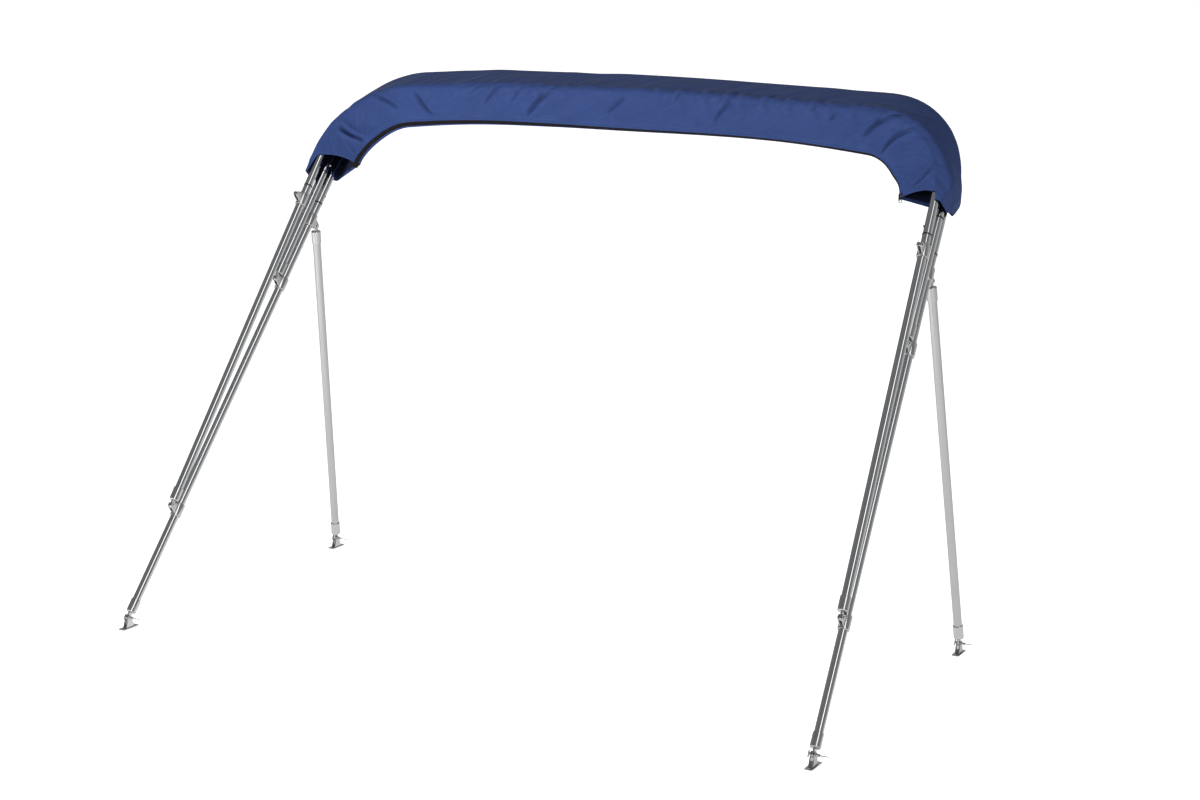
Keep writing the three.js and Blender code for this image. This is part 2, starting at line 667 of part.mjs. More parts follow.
// A bow in its own frame, whose origin is midway between its two pins: its top, and on each
// side its joint ring, its leg tube and the eye end on the tube's foot.
function addBow(group, name, legLength, footX) {
  const drop = RING_DROP[name];
  const spread = footX - BEND.halfWidth;
  const end = Math.hypot(legLength, spread) - drop - JOINT_RING.thickness / 2 - GAP;
  for (const { tag, sign } of SIDES) {
    const tip = -sign * Math.atan(spread / legLength);
    const foot = [sign * footX, 0, 0];
    const leg = hollowTube(CAP.start + CAP.floor + GAP, end).rotateY(tip);
    const half = JOINT_RING.thickness / 2;
    const ring = prism(disc(JOINT_RING.outer), -half, half, TUBE.sides).rotateY(tip);
    addPiece(group, `leg_${name}_${tag}`, leg, "polished", foot);
    addPiece(group, `eye_${name}_${tag}`, eyeEnd(tip), "fitting", foot);
    const ringAt = [sign * (BEND.halfWidth + SPLAY * drop), 0, legLength - drop];
    addPiece(group, `joint_ring_${name}_${tag}`, ring, "ring", ringAt);
  }
  addPiece(group, `bow_${name}_top`, bowTop(drop), "polished", [0, 0, legLength]);
}

// A pair of jaw slides with their bolts. facing is -1 for jaws that face forwards.
function addSlides(group, name, halfWidth, height, facing) {
  for (const { tag, sign } of SIDES) {
    const slide = jawSlide(facing * sign * SPLAY_ANGLE);
    if (facing > 0) slide.rotateZ(Math.PI);
    const x = sign * halfWidth;
    addPiece(group, `slide_${name}_${tag}`, slide, "fitting", [x, 0, height]);
    const boltAt = [x, facing * JAW_REACH, height];
    addPiece(group, `bolt_${name}_${tag}`, jawBolt(), "fitting", boltAt);
  }
}

function addFeet(model, name, x, y) {
  for (const { tag, sign } of SIDES) {
    addPiece(model, `hinge_${name}_${tag}`, deckHinge(), "fitting", [sign * x, y, 0]);
    addPiece(model, `pin_${name}_${tag}`, releasePin(), "fitting", [sign * x, y, PIN_HEIGHT]);
  }
}

// The support poles, from their deck hinges up to the rear jaws of the main bow.
function addPoles(model) {
  const topY = PIVOT.pole * Math.sin(LEAN) + JAW_REACH * Math.cos(LEAN);
  const rise = PIVOT.pole * Math.cos(LEAN) - JAW_REACH * Math.sin(LEAN);
  const height = Math.hypot(POLE_FOOT.y - topY, rise);
  const lean = -Math.atan2(POLE_FOOT.y - topY, rise);
  const group = addFrame(model, [0, POLE_FOOT.y, PIN_HEIGHT], lean);
  const topX = mainHalfWidth(PIVOT.pole);
  const end = CAP.start + CAP.floor + GAP;
  const length = Math.hypot(height, POLE_FOOT.x - topX);
  for (const { tag, sign } of SIDES) {
    const tip = -sign * Math.atan((POLE_FOOT.x - topX) / height);
    const foot = [sign * POLE_FOOT.x, 0, 0];
    const top = [sign * topX, 0, height];
    addPiece(group, `pole_${tag}`, hollowTube(end, length - end).rotateY(tip), "satin", foot);
    addPiece(group, `eye_pole_foot_${tag}`, eyeEnd(tip), "fitting", foot);
    const topEye = eyeEnd(-tip).rotateX(Math.PI);
    addPiece(group, `eye_pole_top_${tag}`, topEye, "fitting", top);
  }
}

function addBoot(bows) {
  addPiece(bows, "boot", bootCloth(), "cloth");
  const tape = zipBand(TAPE.across, TAPE_TOP, TAPE_TOP - TAPE.thickness, TAPE.over);
  addPiece(bows, "zip_tape", tape, "zip");
  const coilFoot = TAPE_TOP + 2 * GAP;
  const coilAcross = [-COIL.width / 2, COIL.width / 2];
  const coil = zipBand(coilAcross, coilFoot + COIL.height, coilFoot, 0);
  addPiece(bows, "zip_coil", coil, "zip");
  addSlider(bows);
}

const model = new THREE.Group();
const bows = addFrame(model, [0, 0, PIN_HEIGHT], LEAN);
const frontBow = addFrame(bows, [0, -JAW_REACH, PIVOT.front], -FRONT_TILT);
const middleBow = addFrame(bows, [0, -JAW_REACH, PIVOT.middle], 0);
const strapAt = LEG.front - STRAP_SLIDE_DROP;
addBow(frontBow, "front", LEG.front, mainHalfWidth(PIVOT.front));
addBow(middleBow, "middle", LEG.middle, mainHalfWidth(PIVOT.middle));
addBow(bows, "main", LEG.main, mainHalfWidth(0));
addSlides(bows, "front", mainHalfWidth(PIVOT.front), PIVOT.front, -1);
addSlides(bows, "middle", mainHalfWidth(PIVOT.middle), PIVOT.middle, -1);
addSlides(bows, "pole", mainHalfWidth(PIVOT.pole), PIVOT.pole, 1);
addSlides(frontBow, "strap", BEND.halfWidth + SPLAY * STRAP_SLIDE_DROP, strapAt, -1);
addPoles(model);
addFeet(model, "main", mainHalfWidth(0), 0);
addFeet(model, "pole", POLE_FOOT.x, POLE_FOOT.y);
addBoot(bows);

// The origin is the middle of the part's outline on the deck.
const box = new THREE.Box3().setFromObject(model, true);
model.position.set(-(box.min.x + box.max.x) / 2, -(box.min.y + box.max.y) / 2, -box.min.z);

export default model;
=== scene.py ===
"""The looks of a stowed bimini top: a zipped cloth boot over three folded bows of bright tube,
which stand on two deck hinges and lean back on two support poles.
Metres, +Z up. The front is -Y, and left and right are as seen from the front."""

from math import atan, atan2, cos, hypot, pi, radians, sin, tan

import bmesh
import bpy
import numpy as np
from bpy.props import FloatProperty, FloatVectorProperty, IntProperty, PointerProperty
from mathutils import Matrix, Vector


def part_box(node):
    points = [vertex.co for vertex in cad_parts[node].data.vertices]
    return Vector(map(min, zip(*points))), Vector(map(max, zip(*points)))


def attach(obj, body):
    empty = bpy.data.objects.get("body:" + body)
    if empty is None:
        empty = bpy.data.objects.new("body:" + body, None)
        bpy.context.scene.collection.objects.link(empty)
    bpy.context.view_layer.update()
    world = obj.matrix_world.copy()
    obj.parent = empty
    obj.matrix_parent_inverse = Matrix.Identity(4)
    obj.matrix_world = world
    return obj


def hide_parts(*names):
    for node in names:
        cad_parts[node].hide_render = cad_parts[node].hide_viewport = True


bl_info = {
    "name": "Bimini top in its storage boot",
    "version": (1, 0, 0),
    "blender": (4, 5, 0),
    "location": "3D View > Sidebar > Bimini top",
    "description": "Builds the boot, the bows, the poles and the fittings of a stowed bimini top",
    "category": "Add Mesh",
}

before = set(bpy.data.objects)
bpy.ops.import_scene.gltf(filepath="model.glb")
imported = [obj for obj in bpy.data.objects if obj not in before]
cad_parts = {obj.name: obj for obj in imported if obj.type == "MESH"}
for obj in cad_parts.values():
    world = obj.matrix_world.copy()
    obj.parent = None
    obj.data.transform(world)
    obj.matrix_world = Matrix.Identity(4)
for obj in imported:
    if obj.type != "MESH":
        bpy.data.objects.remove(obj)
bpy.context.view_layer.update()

# Driving sizes of the frame, the same as the CAD's. Heights run up the main bow from its pins.
GAP = 0.0003
PIN_HEIGHT = 0.028
LEAN = radians(37.3)
SPLAY = 0.0443
SPLAY_ANGLE = atan(SPLAY)
HALF_WIDTH, STRAIGHT, BEND_RADIUS, CROWN_ANGLE = 0.9049, 0.108, 0.228, 0.067
JAW_REACH = 0.030
PIVOT = {"front": 0.312, "middle": 1.012, "pole": 1.219}
LEG = {"front": 0.977, "middle": 0.354, "main": 1.275}
RING_DROP = {"front": 0.0, "middle": 0.006, "main": 0.0}
FRONT_TILT = radians(2.35)
STRAP_SLIDE_DROP = 0.044
CAP = {"start": 0.014, "length": 0.036, "outer": 0.0132, "bore": 0.0115, "floor": 0.004}
CAP_EDGE = {"round": 0.0022, "shoulder": 0.0005, "rim": 0.0006, "rim_in": 0.0004}
TONGUE = {"thickness": 0.0044, "tip": 0.0075, "half_width": 0.006}
EAR = {"gap": 0.0032, "thickness": 0.003, "tip": 0.0082, "root_half": 0.016, "root_at": 0.006}
EAR_FACE = EAR["gap"] + EAR["thickness"] + GAP
SLEEVE = {"outer": 0.0144, "bore": 0.0115, "length": 0.036, "edge": 0.0012}
# How far a shank goes beyond its ears' faces, and what stands on them: the head's dome, in
# shares of its radius and height, and the cap nut.
BOLT_OVER = 0.001
BOLT_HEAD = {"height": 0.0026, "rim": 0.0005, "rim_in": 0.0004}
DOME = ((0.93, 0.5), (0.7, 0.85), (0.36, 1.0))
NUT = {"shoulder": 0.8, "chamfer": 0.0007}
PLATE = {"width": 0.020, "length": 0.060, "thickness": 0.003, "corner": 0.004}
SCREW = {"hole": 0.0026, "at": 0.023}
HINGE_EAR = {"tip": 0.0072, "root_half": 0.015}
PIN_RING = {"radius": 0.010, "wire": 0.0011, "stem": 0.010, "turn": 0.35}
COLLAR = {"radius": 0.0042, "height": 0.002, "to_stem": 0.003}
STEM = {"radius": 0.0032, "tip": 0.0024, "tip_height": 0.001}
TOGGLE = {"radius": 0.0018, "half": 0.008, "reach": 0.006, "lean": 0.5, "edge": 0.0008, "root": 0.001}
HOLE = 0.0034
RING_HALF = 0.001
RING_BAND = {"half": 1.6 * RING_HALF, "edge": 0.0006}
BUTTON = {"rise": 0.023, "proud": 0.0042, "root": 0.001, "edge": 0.0022, "sunk": 0.0002}
WRAP = 0.0129
FOLD_RADIUS = 0.004
SLIT = 0.008
SLIT_WIDER = {"by": 0.0045, "from": 0.2, "to": 0.95}
SEAM = 0.0095
STITCH_INSET = 0.004
# How far the cloth's last round lies behind the main bow and inside it, more down the legs.
BACK = {"slack": 0.012, "drop": 0.001, "leg_drop": 0.002}
TAPE = {
    "across": (-0.008, -0.003, 0.0, 0.003, 0.0085, 0.016),
    "thickness": 0.001, "over": 0.012, "under": 0.001,
}
SLIDER = {
    "length": 0.013, "width": 0.009, "height": 0.003, "edge": 0.0008,
    "tab": 0.008, "tab_thickness": 0.0012, "up": 0.005, "lift": 0.001,
}
PULL = {"tip": 0.003, "hole": 0.0016, "radius": 0.0044, "wire": 0.0009, "forward": 0.5}
SIDES = (("l", -1), ("r", 1))

# How the boot hangs, a row for each place along it: along, depth and forward of the bottom
# fold, the zip's height up the front panel, and how far the cloth stands off the bows.
BOOT_ROWS = np.array((
    (-1.140, 0.105, 0.038, 0.004, 0.006),
    (-1.020, 0.105, 0.038, 0.004, 0.0155),
    (-0.860, 0.107, 0.040, 0.004, 0.0065),
    (-0.690, 0.092, 0.041, 0.003, 0.002),
    (-0.480, 0.081, 0.041, 0.002, 0.009),
    (-0.240, 0.082, 0.041, 0.0005, 0.004),
    (0.000, 0.084, 0.041, -0.0015, 0.004),
    (0.420, 0.079, 0.041, -0.003, 0.0025),
    (0.690, 0.090, 0.042, -0.003, 0.008),
    (0.860, 0.105, 0.043, -0.003, 0.011),
    (0.940, 0.100, 0.043, -0.003, 0.018),
    (1.000, 0.098, 0.043, -0.003, 0.028),
    (1.060, 0.096, 0.042, -0.003, -0.010),
    (1.140, 0.096, 0.042, -0.003, -0.012),
))
# Where each mouth's hem lies along the sleeve: at the zip, on the outer side, at the back.
HEM = {-1: (1.012, 1.070, 1.050), 1: (1.006, 1.031, 1.003)}
HEM_SPREAD = 0.170
HEM_ARCH = 0.009

# Folds and creases of the cloth: where each starts and ends, along the sleeve and down the
# front panel from the front bow, how far its middle bows out sideways, its depth and its
# width. The folds are broad and shallow, the creases narrow.
FOLDS = (
    (-0.905, 0.020, -0.820, 0.090, 0.0, 0.0045, 0.024),
    (-0.690, 0.012, -0.560, 0.080, 0.0, 0.0040, 0.026),
    (-0.330, 0.010, -0.410, 0.060, 0.0, 0.0035, 0.024),
    (-0.205, 0.008, -0.330, 0.070, 0.0, 0.0040, 0.024),
    (-0.070, 0.008, -0.210, 0.078, 0.0, 0.0050, 0.026),
    (0.060, 0.020, -0.040, 0.065, 0.0, 0.0035, 0.026),
    (0.265, 0.014, 0.200, 0.064, 0.0, 0.0040, 0.024),
    (0.560, 0.020, 0.400, 0.070, 0.0, 0.0035, 0.028),
    (0.840, 0.014, 0.690, 0.076, 0.0, 0.0050, 0.028),
    (0.930, 0.040, 0.860, 0.088, 0.0, 0.0045, 0.026),
)
CREASES = (
    (-0.930, 0.002, -0.910, 0.084, 0.008, 0.0040, 0.011),
    (-0.805, -0.014, -0.730, 0.048, 0.0, 0.0022, 0.008),
    (-0.670, 0.003, -0.610, 0.068, 0.004, 0.0024, 0.008),
    (-0.460, -0.014, -0.485, 0.006, 0.0, 0.0016, 0.006),
    (-0.390, -0.012, -0.445, 0.036, 0.003, 0.0022, 0.007),
    (-0.320, -0.011, -0.365, 0.028, 0.0, 0.0020, 0.007),
    (-0.225, -0.009, -0.310, 0.064, 0.006, 0.0034, 0.009),
    (-0.015, 0.009, -0.065, 0.050, 0.0, 0.0022, 0.008),
    (0.150, -0.010, 0.130, 0.016, 0.0, 0.0018, 0.007),
    (0.295, 0.006, 0.250, 0.055, 0.004, 0.0024, 0.008),
    (0.540, -0.006, 0.515, 0.010, 0.0, 0.0016, 0.006),
    (0.590, 0.001, 0.575, 0.027, 0.0, 0.0018, 0.007),
    (0.765, -0.020, 0.670, 0.057, 0.005, 0.0034, 0.009),
    (0.820, -0.006, 0.750, 0.090, 0.012, 0.0034, 0.010),
    (0.935, -0.008, 0.970, 0.062, 0.0, 0.0026, 0.009),
)
CREASE_NARROW = 0.7
# Puckers at the front bow, each a small ridge over the crest: along, height.
PUCKERS = (
    (-0.520, 0.0010), (-0.408, 0.0022), (-0.336, 0.0020), (-0.268, 0.0015), (-0.190, 0.0018),
    (-0.138, 0.0012), (0.085, 0.0014), (0.150, 0.0026), (0.226, 0.0024), (0.291, 0.0030),
    (0.328, 0.0018), (0.395, 0.0030), (0.463, 0.0026), (0.533, 0.0024), (0.573, 0.0018),
    (0.640, 0.0020), (0.705, 0.0018), (0.780, 0.0016),
)
PUCKER = {"lean": 0.018, "above": -0.024, "below": 0.016, "width": 0.012}
# A furrow's side swells, in its own widths and depths, and how it fades towards its ends.
FURROW = {"swell_at": 1.7, "swell": 0.35, "fade": 0.45}
# The painted shade in the bottom of a crease: its width as a share of the crease's width, and the crease
# depth at which the shade is fully dark.
CREASE_SHADE = {"width": 0.5, "depth": 0.003}
# The small waves of the front panel's face, of the strip over the bows and of all the cloth:
# their two slants, their two lengths, their share of the height, and their seed.
DRAG = {"lean": 0.55, "turn": 0.4, "across": 0.017, "along": 0.06, "share": 0.55, "seed": 3}
STRIP = {"lean": 1.3, "turn": 0.9, "across": 0.021, "along": 0.05, "share": 1.2, "seed": 5}
SWELL = {"lean": 0.0, "turn": 0.0, "across": 0.075, "along": 0.05, "share": 0.9, "seed": 9}
# The drops below the front bow between which the face and the strip begin.
FACE_FROM = (-0.01, 0.02)
STRIP_FROM = (-0.13, -0.05)
# By the zip the tape backs the cloth. Distances from the cloth's edge between which the
# relief grows in, how far the cloth may sink over the tape, and where and how far beyond it.
BACKED = {"fade": (0.004, 0.022), "sink": 0.0003, "free": (0.012, 0.030), "free_sink": 0.03}
# The folded hem and its groove, in hems, and the lapped edge above the zip and its groove.
HEM_FOLD = {"from": 0.8, "to": 1.05, "height": 0.0008}
HEM_GROOVE = {"at": 0.82, "width": 0.0022, "depth": 0.0007}
LAP = {"drops": (-0.02, 0.0), "height": 0.0005, "edge": 0.003}
LAP_GROOVE = {"width": 0.0024, "depth": 0.0007}
# How close the cloth's inner side comes to a bow's axis.
BOW_CLEAR = 0.0122
# Above this drop the cloth is measured from its back edge at the zip.
BACK_FROM = -0.05
# A heading that falls by more than this has gone on past a full turn.
HEADING_FALL = 0.5
# How far short of the slit the bottom fold's round ends.
FOLD_SHORT = 0.001
# Steps of the cloth's grid on each round of a cross plane, and on the flat after it.
ROUND_STEPS = (5, 5, 3, 8, 5, 4)
FLAT_STEPS = (26, 3, 12, 12, 1, 10)


def hinge_place(name, side):
    low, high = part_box(f"hinge_{name}_{side}")
    return (low + high) / 2


# The deck's point midway between the main hinges, and the support poles' feet from there.
MAIN_L, MAIN_R = (hinge_place("main", side) for side, _ in SIDES)
DECK = Vector(((MAIN_L.x + MAIN_R.x) / 2, MAIN_L.y, 0))
POLE_X = (hinge_place("pole", "r").x - hinge_place("pole", "l").x) / 2
POLE_Y = hinge_place("pole", "r").y - DECK.y


def number(kind, name, description, default, **facts):
    return kind(name=name, description=description, default=default, **facts)


def size(name, description, default):
    return number(FloatProperty, name, description, default, min=0, unit="LENGTH", precision=5)


def share(name, description, default):
    return number(FloatProperty, name, description, default, min=0, max=4, subtype="FACTOR")


def colour(name, description, default):
    facts = {"size": 3, "min": 0, "max": 1, "subtype": "COLOR"}
    return number(FloatVectorProperty, name, description, default, **facts)


class TubeSettings(bpy.types.PropertyGroup):
    """Sizes and colours of the bows, the poles and the joint rings."""

    radius: size("Tube radius", "Outer radius of every tube", 0.0111)
    wall: size("Wall", "Wall thickness of the leg tubes and the poles", 0.0012)
    sides: number(IntProperty, "Sides", "Facets round a tube", 40, min=12, max=96)
    ring: size("Joint ring radius", "Outer radius of the dark joint rings", 0.0120)
    button: size("Snap button radius", "Radius of the snap buttons above the joints", 0.0033)
    bright: colour("Bright tube", "Colour of the polished bows and legs", (0.62, 0.63, 0.64))
    satin: colour("Satin tube", "Colour of the support poles", (0.56, 0.56, 0.56))
    dark: colour("Joint ring", "Colour of the joint rings", (0.005, 0.005, 0.005))


class FittingSettings(bpy.types.PropertyGroup):
    """Sizes and colour of the cast and pressed fittings."""

    edge: size("Rounded edge", "Radius on the edges of plates and ears", 0.0006)
    bolt: size("Bolt radius", "Radius of the bolts and pins", 0.003)
    head: size("Bolt head radius", "Radius of the domed heads", 0.0052)
    metal: colour("Fitting", "Colour of the stainless fittings", (0.60, 0.60, 0.60))


class BootSettings(bpy.types.PropertyGroup):
    """Sizes and colour of the storage boot."""

    thickness: size("Cloth", "Thickness of the cloth", 0.0014)
    hem: size("Hem", "Width of the folded hem at each mouth", 0.011)
    fold: share("Folds", "How deep the broad folds are, 1 as measured", 0.8)
    crease: share("Creases", "How deep the narrow creases are, 1 as measured", 2.8)
    pucker: share("Puckers", "How high the puckers at the front bow are", 3.0)
    rumple: size("Rumple", "Height of the small uneven waves in the cloth", 0.0013)
    stations: number(IntProperty, "Stations", "Rows of faces along the boot", 500, min=40, max=510)
    blue: colour("Cloth", "Colour of the cloth", (0.025, 0.047, 0.148))
    # The coated inner side's colour is darker than a coating alone: it is partly painted shade for the
    # inside of the sleeve.
    coating_and_shade: colour("Coating", "Colour of the cloth's coated inner side", (0.008, 0.012, 0.034))


class ZipSettings(bpy.types.PropertyGroup):
    """Sizes and colours of the zip and the sewing thread."""

    pitch: size("Tooth pitch", "Distance between the coil's turns", 0.0017)
    tooth: number(FloatVectorProperty, "Tooth", "Length, width and height of a coil's turn",
                  (0.0012, 0.0040, 0.0015), size=3, subtype="XYZ", unit="LENGTH")
    stitch: number(FloatVectorProperty, "Stitch", "Length, width and height of a stitch",
                   (0.0030, 0.0007, 0.0006), size=3, subtype="XYZ", unit="LENGTH")
    stitch_pitch: size("Stitch pitch", "Distance from stitch to stitch", 0.0042)
    tape: colour("Tape", "Colour of the zip's tape", (0.011, 0.009, 0.009))
    coil: colour("Coil", "Colour of the zip's coil", (0.016, 0.013, 0.012))
    metal: colour("Slider", "Colour of the slider and its pull ring", (0.22, 0.22, 0.22))
    thread: colour("Thread", "Colour of the sewing thread", (0.075, 0.115, 0.29))


class StageSettings(bpy.types.PropertyGroup):
    """The camera, the floor and the lights."""

    lens: number(FloatProperty, "Lens", "Focal length in millimetres", 65.55, min=20, max=200)
    floor: size("Floor", "Side of the floor", 120.0)
    pale: colour("Floor", "Colour of the floor", (0.92, 0.92, 0.92))
    key: number(FloatProperty, "Key light", "Power of the softbox at the front left", 270.0, min=0)
    strip: number(FloatProperty, "Strip light", "Power of the narrow side light", 14.0, min=0)
    top: number(FloatProperty, "Top light", "Power of the light above", 6.0, min=0)


# Node trees


class Tree:
    """Short calls that build a node tree."""

    def __init__(self, tree):
        self.tree = tree

    def add(self, kind, inputs=(), **settings):
        node = self.tree.nodes.new(kind)
        for key, value in settings.items():
            setattr(node, key, value)
        for key, value in dict(inputs).items():
            self.feed(node.inputs[key], value)
        return node

    def feed(self, socket, value):
        if isinstance(value, bpy.types.NodeSocket):
            self.tree.links.new(value, socket)
        else:
            socket.default_value = value

    def math(self, operation, *values):
        node = self.add("ShaderNodeMath", operation=operation)
        for socket, value in zip(node.inputs, values):
            self.feed(socket, value)
        return node.outputs[0]

    def ramp(self, value, low, high, to_low, to_high):
        inputs = {"Value": value, "From Min": low, "From Max": high}
        node = self.add("ShaderNodeMapRange", {**inputs, "To Min": to_low, "To Max": to_high})
        return node.outputs["Result"]

    def noise(self, vector, scale, detail=2.0, roughness=0.5):
        inputs = {"Vector": vector, "Scale": scale, "Detail": detail, "Roughness": roughness}
        return self.add("ShaderNodeTexNoise", inputs).outputs["Fac"]


def shader_group(name, inputs, outputs):
    """A new shader node group with float sockets, and one vector input named Vector."""
    group = bpy.data.node_groups.new(name, "ShaderNodeTree")
    group.interface.new_socket("Vector", in_out="INPUT", socket_type="NodeSocketVector")
    for label, value in inputs.items():
        socket = group.interface.new_socket(label, in_out="INPUT", socket_type="NodeSocketFloat")
        socket.default_value = value
    for label in outputs:
        group.interface.new_socket(label, in_out="OUTPUT", socket_type="NodeSocketFloat")
    tree = Tree(group)
    given = tree.add("NodeGroupInput").outputs
    return group, tree, given, tree.add("NodeGroupOutput").inputs


def weave_group():
    """A plain weave on UV metres: the threads' height, and how light each thread is."""
    group, tree, given, out = shader_group("Plain weave", {"Pitch": 0.0008}, ("Height", "Shade"))
    turns = tree.math("DIVIDE", 2 * pi, given["Pitch"])
    scaled = tree.add("ShaderNodeVectorMath", operation="SCALE")
    tree.feed(scaled.inputs["Vector"], given["Vector"])
    tree.feed(scaled.inputs["Scale"], turns)
    axes = tree.add("ShaderNodeSeparateXYZ", {"Vector": scaled.outputs[0]}).outputs
    waves = tree.math("MULTIPLY", tree.math("SINE", axes["X"]), tree.math("SINE", axes["Y"]))
    tree.feed(out["Height"], tree.ramp(waves, -1.0, 1.0, 0.0, 1.0))
    slubs = tree.add("ShaderNodeVectorMath", {0: given["Vector"], 1: (900.0, 90.0, 1.0)},
                     operation="MULTIPLY")
    tree.feed(out["Shade"], tree.noise(slubs.outputs[0], 1.0, 3.0))
    return group


def wear_group():
    """Handling marks on bare metal: smears of roughness, and fine scratches."""
    inputs = {"Scale": 9.0, "Smooth": 0.1, "Dull": 0.3}
    group, tree, given, out = shader_group("Handling marks", inputs, ("Roughness", "Height"))
    smear = tree.noise(given["Vector"], given["Scale"], 4.0, 0.6)
    fine = tree.noise(given["Vector"], tree.math("MULTIPLY", given["Scale"], 55.0), 3.0, 0.7)
    mixed = tree.math("ADD", tree.math("MULTIPLY", smear, 0.75), tree.math("MULTIPLY", fine, 0.25))
    tree.feed(out["Roughness"], tree.ramp(mixed, 0.35, 0.65, given["Smooth"], given["Dull"]))
    tree.feed(out["Height"], fine)
    return group


def new_material(name, base, roughness, metallic=0.0, **more):
    """A material with a Principled shader, whose constant values sit on its own sockets."""
    made = bpy.data.materials.new(name)
    made.use_nodes = True
    made.diffuse_color = (*base, 1.0)
    tree = Tree(made.node_tree)
    shader = made.node_tree.nodes["Principled BSDF"]
    values = {"Base Color": (*base, 1.0), "Roughness": roughness, "Metallic": metallic}
    for label, value in {**values, **more}.items():
        shader.inputs[label.replace("_", " ")].default_value = value
    return made, tree, shader


def tinted(tree, base, value, dark, light):
    """The base colour, made darker or lighter as value goes from 0 to 1."""
    shade = tree.ramp(value, 0.0, 1.0, dark, light)
    node = tree.add("ShaderNodeVectorMath", {0: base}, operation="SCALE")
    tree.feed(node.inputs["Scale"], shade)
    return node.outputs[0]


def bump(tree, shader, height, distance, strength, under=None):
    inputs = {"Height": height, "Distance": distance, "Strength": strength}
    node = tree.add("ShaderNodeBump", inputs)
    if under is not None:
        tree.feed(node.inputs["Normal"], under)
    tree.feed(shader.inputs["Normal"], node.outputs[0])
    return node.outputs[0]


def cloth_material(name, base, groups):
    """Coated woven cloth: fine weave, brushed drag lines, uneven dye, and painted shade that darkens the
    bottoms of the narrow creases.
    """
    made, tree, shader = new_material(name, base, 0.7, Specular_IOR_Level=0.22)
    shader.inputs["Sheen Weight"].default_value = 0.03
    shader.inputs["Sheen Roughness"].default_value = 0.45
    uv = tree.add("ShaderNodeUVMap", uv_map="Cloth").outputs[0]
    weave = tree.add("ShaderNodeGroup", {}, node_tree=groups["weave"])
    tree.feed(weave.inputs["Vector"], uv)
    lean = {"Vector": uv, "Rotation": (0.0, 0.0, radians(63)), "Scale": (0.009, 0.070, 1.0)}
    lean = tree.add("ShaderNodeMapping", lean, vector_type="TEXTURE").outputs[0]
    drag = tree.noise(lean, 1.0, 3.0, 0.55)
    cross = {"Vector": uv, "Rotation": (0.0, 0.0, radians(48)), "Scale": (0.022, 0.110, 1.0)}
    cross = tree.add("ShaderNodeMapping", cross, vector_type="TEXTURE").outputs[0]
    pull = tree.noise(cross, 1.0, 2.0, 0.5)
    patches = tree.noise(uv, 7.0, 3.0, 0.6)
    tone = tree.math("ADD", tree.math("MULTIPLY", patches, 0.5), tree.math("MULTIPLY", drag, 0.3))
    tone = tree.math("ADD", tone, tree.math("MULTIPLY", weave.outputs["Shade"], 0.2))
    # Painted shade: the trough attribute darkens the colour in the bottoms of the narrow creases.
    trough = tree.add("ShaderNodeAttribute", attribute_name="trough").outputs["Fac"]
    tone = tree.math("SUBTRACT", tone, trough)
    tree.feed(shader.inputs["Base Color"], tinted(tree, base, tone, 0.72, 1.28))
    tree.feed(shader.inputs["Roughness"], tree.ramp(pull, 0.3, 0.7, 0.62, 0.78))
    folds = tree.math("ADD", tree.math("MULTIPLY", drag, 0.45), pull)
    under = bump(tree, shader, folds, 0.0045, 0.75)
    bump(tree, shader, weave.outputs["Height"], 0.00012, 0.5, under)
    return made


def textile_material(name, base, pitch, groups):
    """A narrow woven tape."""
    made, tree, shader = new_material(name, base, 0.7, Specular_IOR_Level=0.3)
    uv = tree.add("ShaderNodeUVMap", uv_map="Cloth").outputs[0]
    weave = tree.add("ShaderNodeGroup", {}, node_tree=groups["weave"])
    tree.feed(weave.inputs["Vector"], uv)
    weave.inputs["Pitch"].default_value = pitch
    shade = tinted(tree, base, weave.outputs["Shade"], 0.6, 1.5)
    tree.feed(shader.inputs["Base Color"], shade)
    bump(tree, shader, weave.outputs["Height"], 0.0003, 0.6)
    return made


def bead_material(name, base, roughness):
    """Moulded or spun beads, such as a coil's turns or stitches, each a little uneven."""
    made, tree, shader = new_material(name, base, roughness, Specular_IOR_Level=0.25)
    place = tree.add("ShaderNodeTexCoord").outputs["Object"]
    grain = tree.noise(place, 1400.0, 2.0)
    tree.feed(shader.inputs["Base Color"], tinted(tree, base, grain, 0.6, 1.4))
    tree.feed(shader.inputs["Roughness"], tree.ramp(grain, 0.2, 0.8, roughness - 0.1, roughness + 0.1))
    bump(tree, shader, grain, 0.0002, 0.4)
    return made


def metal_material(name, base, smooth, dull, scale, groups):
    """Bare metal with handling marks."""
    made, tree, shader = new_material(name, base, smooth, 1.0)
    place = tree.add("ShaderNodeTexCoord").outputs["Object"]
    wear = tree.add("ShaderNodeGroup", {}, node_tree=groups["wear"])
    tree.feed(wear.inputs["Vector"], place)
    for label, value in (("Scale", scale), ("Smooth", smooth), ("Dull", dull)):
        wear.inputs[label].default_value = value
    tree.feed(shader.inputs["Roughness"], wear.outputs["Roughness"])
    clouds = tree.noise(place, scale * 0.6, 3.0)
    tree.feed(shader.inputs["Base Color"], tinted(tree, base, clouds, 0.9, 1.1))
    bump(tree, shader, wear.outputs["Height"], 0.00004, 0.5)
    return made


def drawn_tube_material(name, base, smooth, dull, groups):
    """Tube with faint lines along it from drawing and polishing."""
    made = metal_material(name, base, smooth, dull, 6.0, groups)
    tree = Tree(made.node_tree)
    shader = made.node_tree.nodes["Principled BSDF"]
    around = tree.add("ShaderNodeAttribute", attribute_name="around").outputs["Fac"]
    run = tree.add("ShaderNodeAttribute", attribute_name="run").outputs["Fac"]
    line = tree.add("ShaderNodeCombineXYZ", {"X": around, "Y": tree.math("MULTIPLY", run, 2.0)})
    lines = tree.noise(line.outputs[0], 30.0, 3.0, 0.7)
    bump(tree, shader, lines, 0.00006, 0.5)
    return made


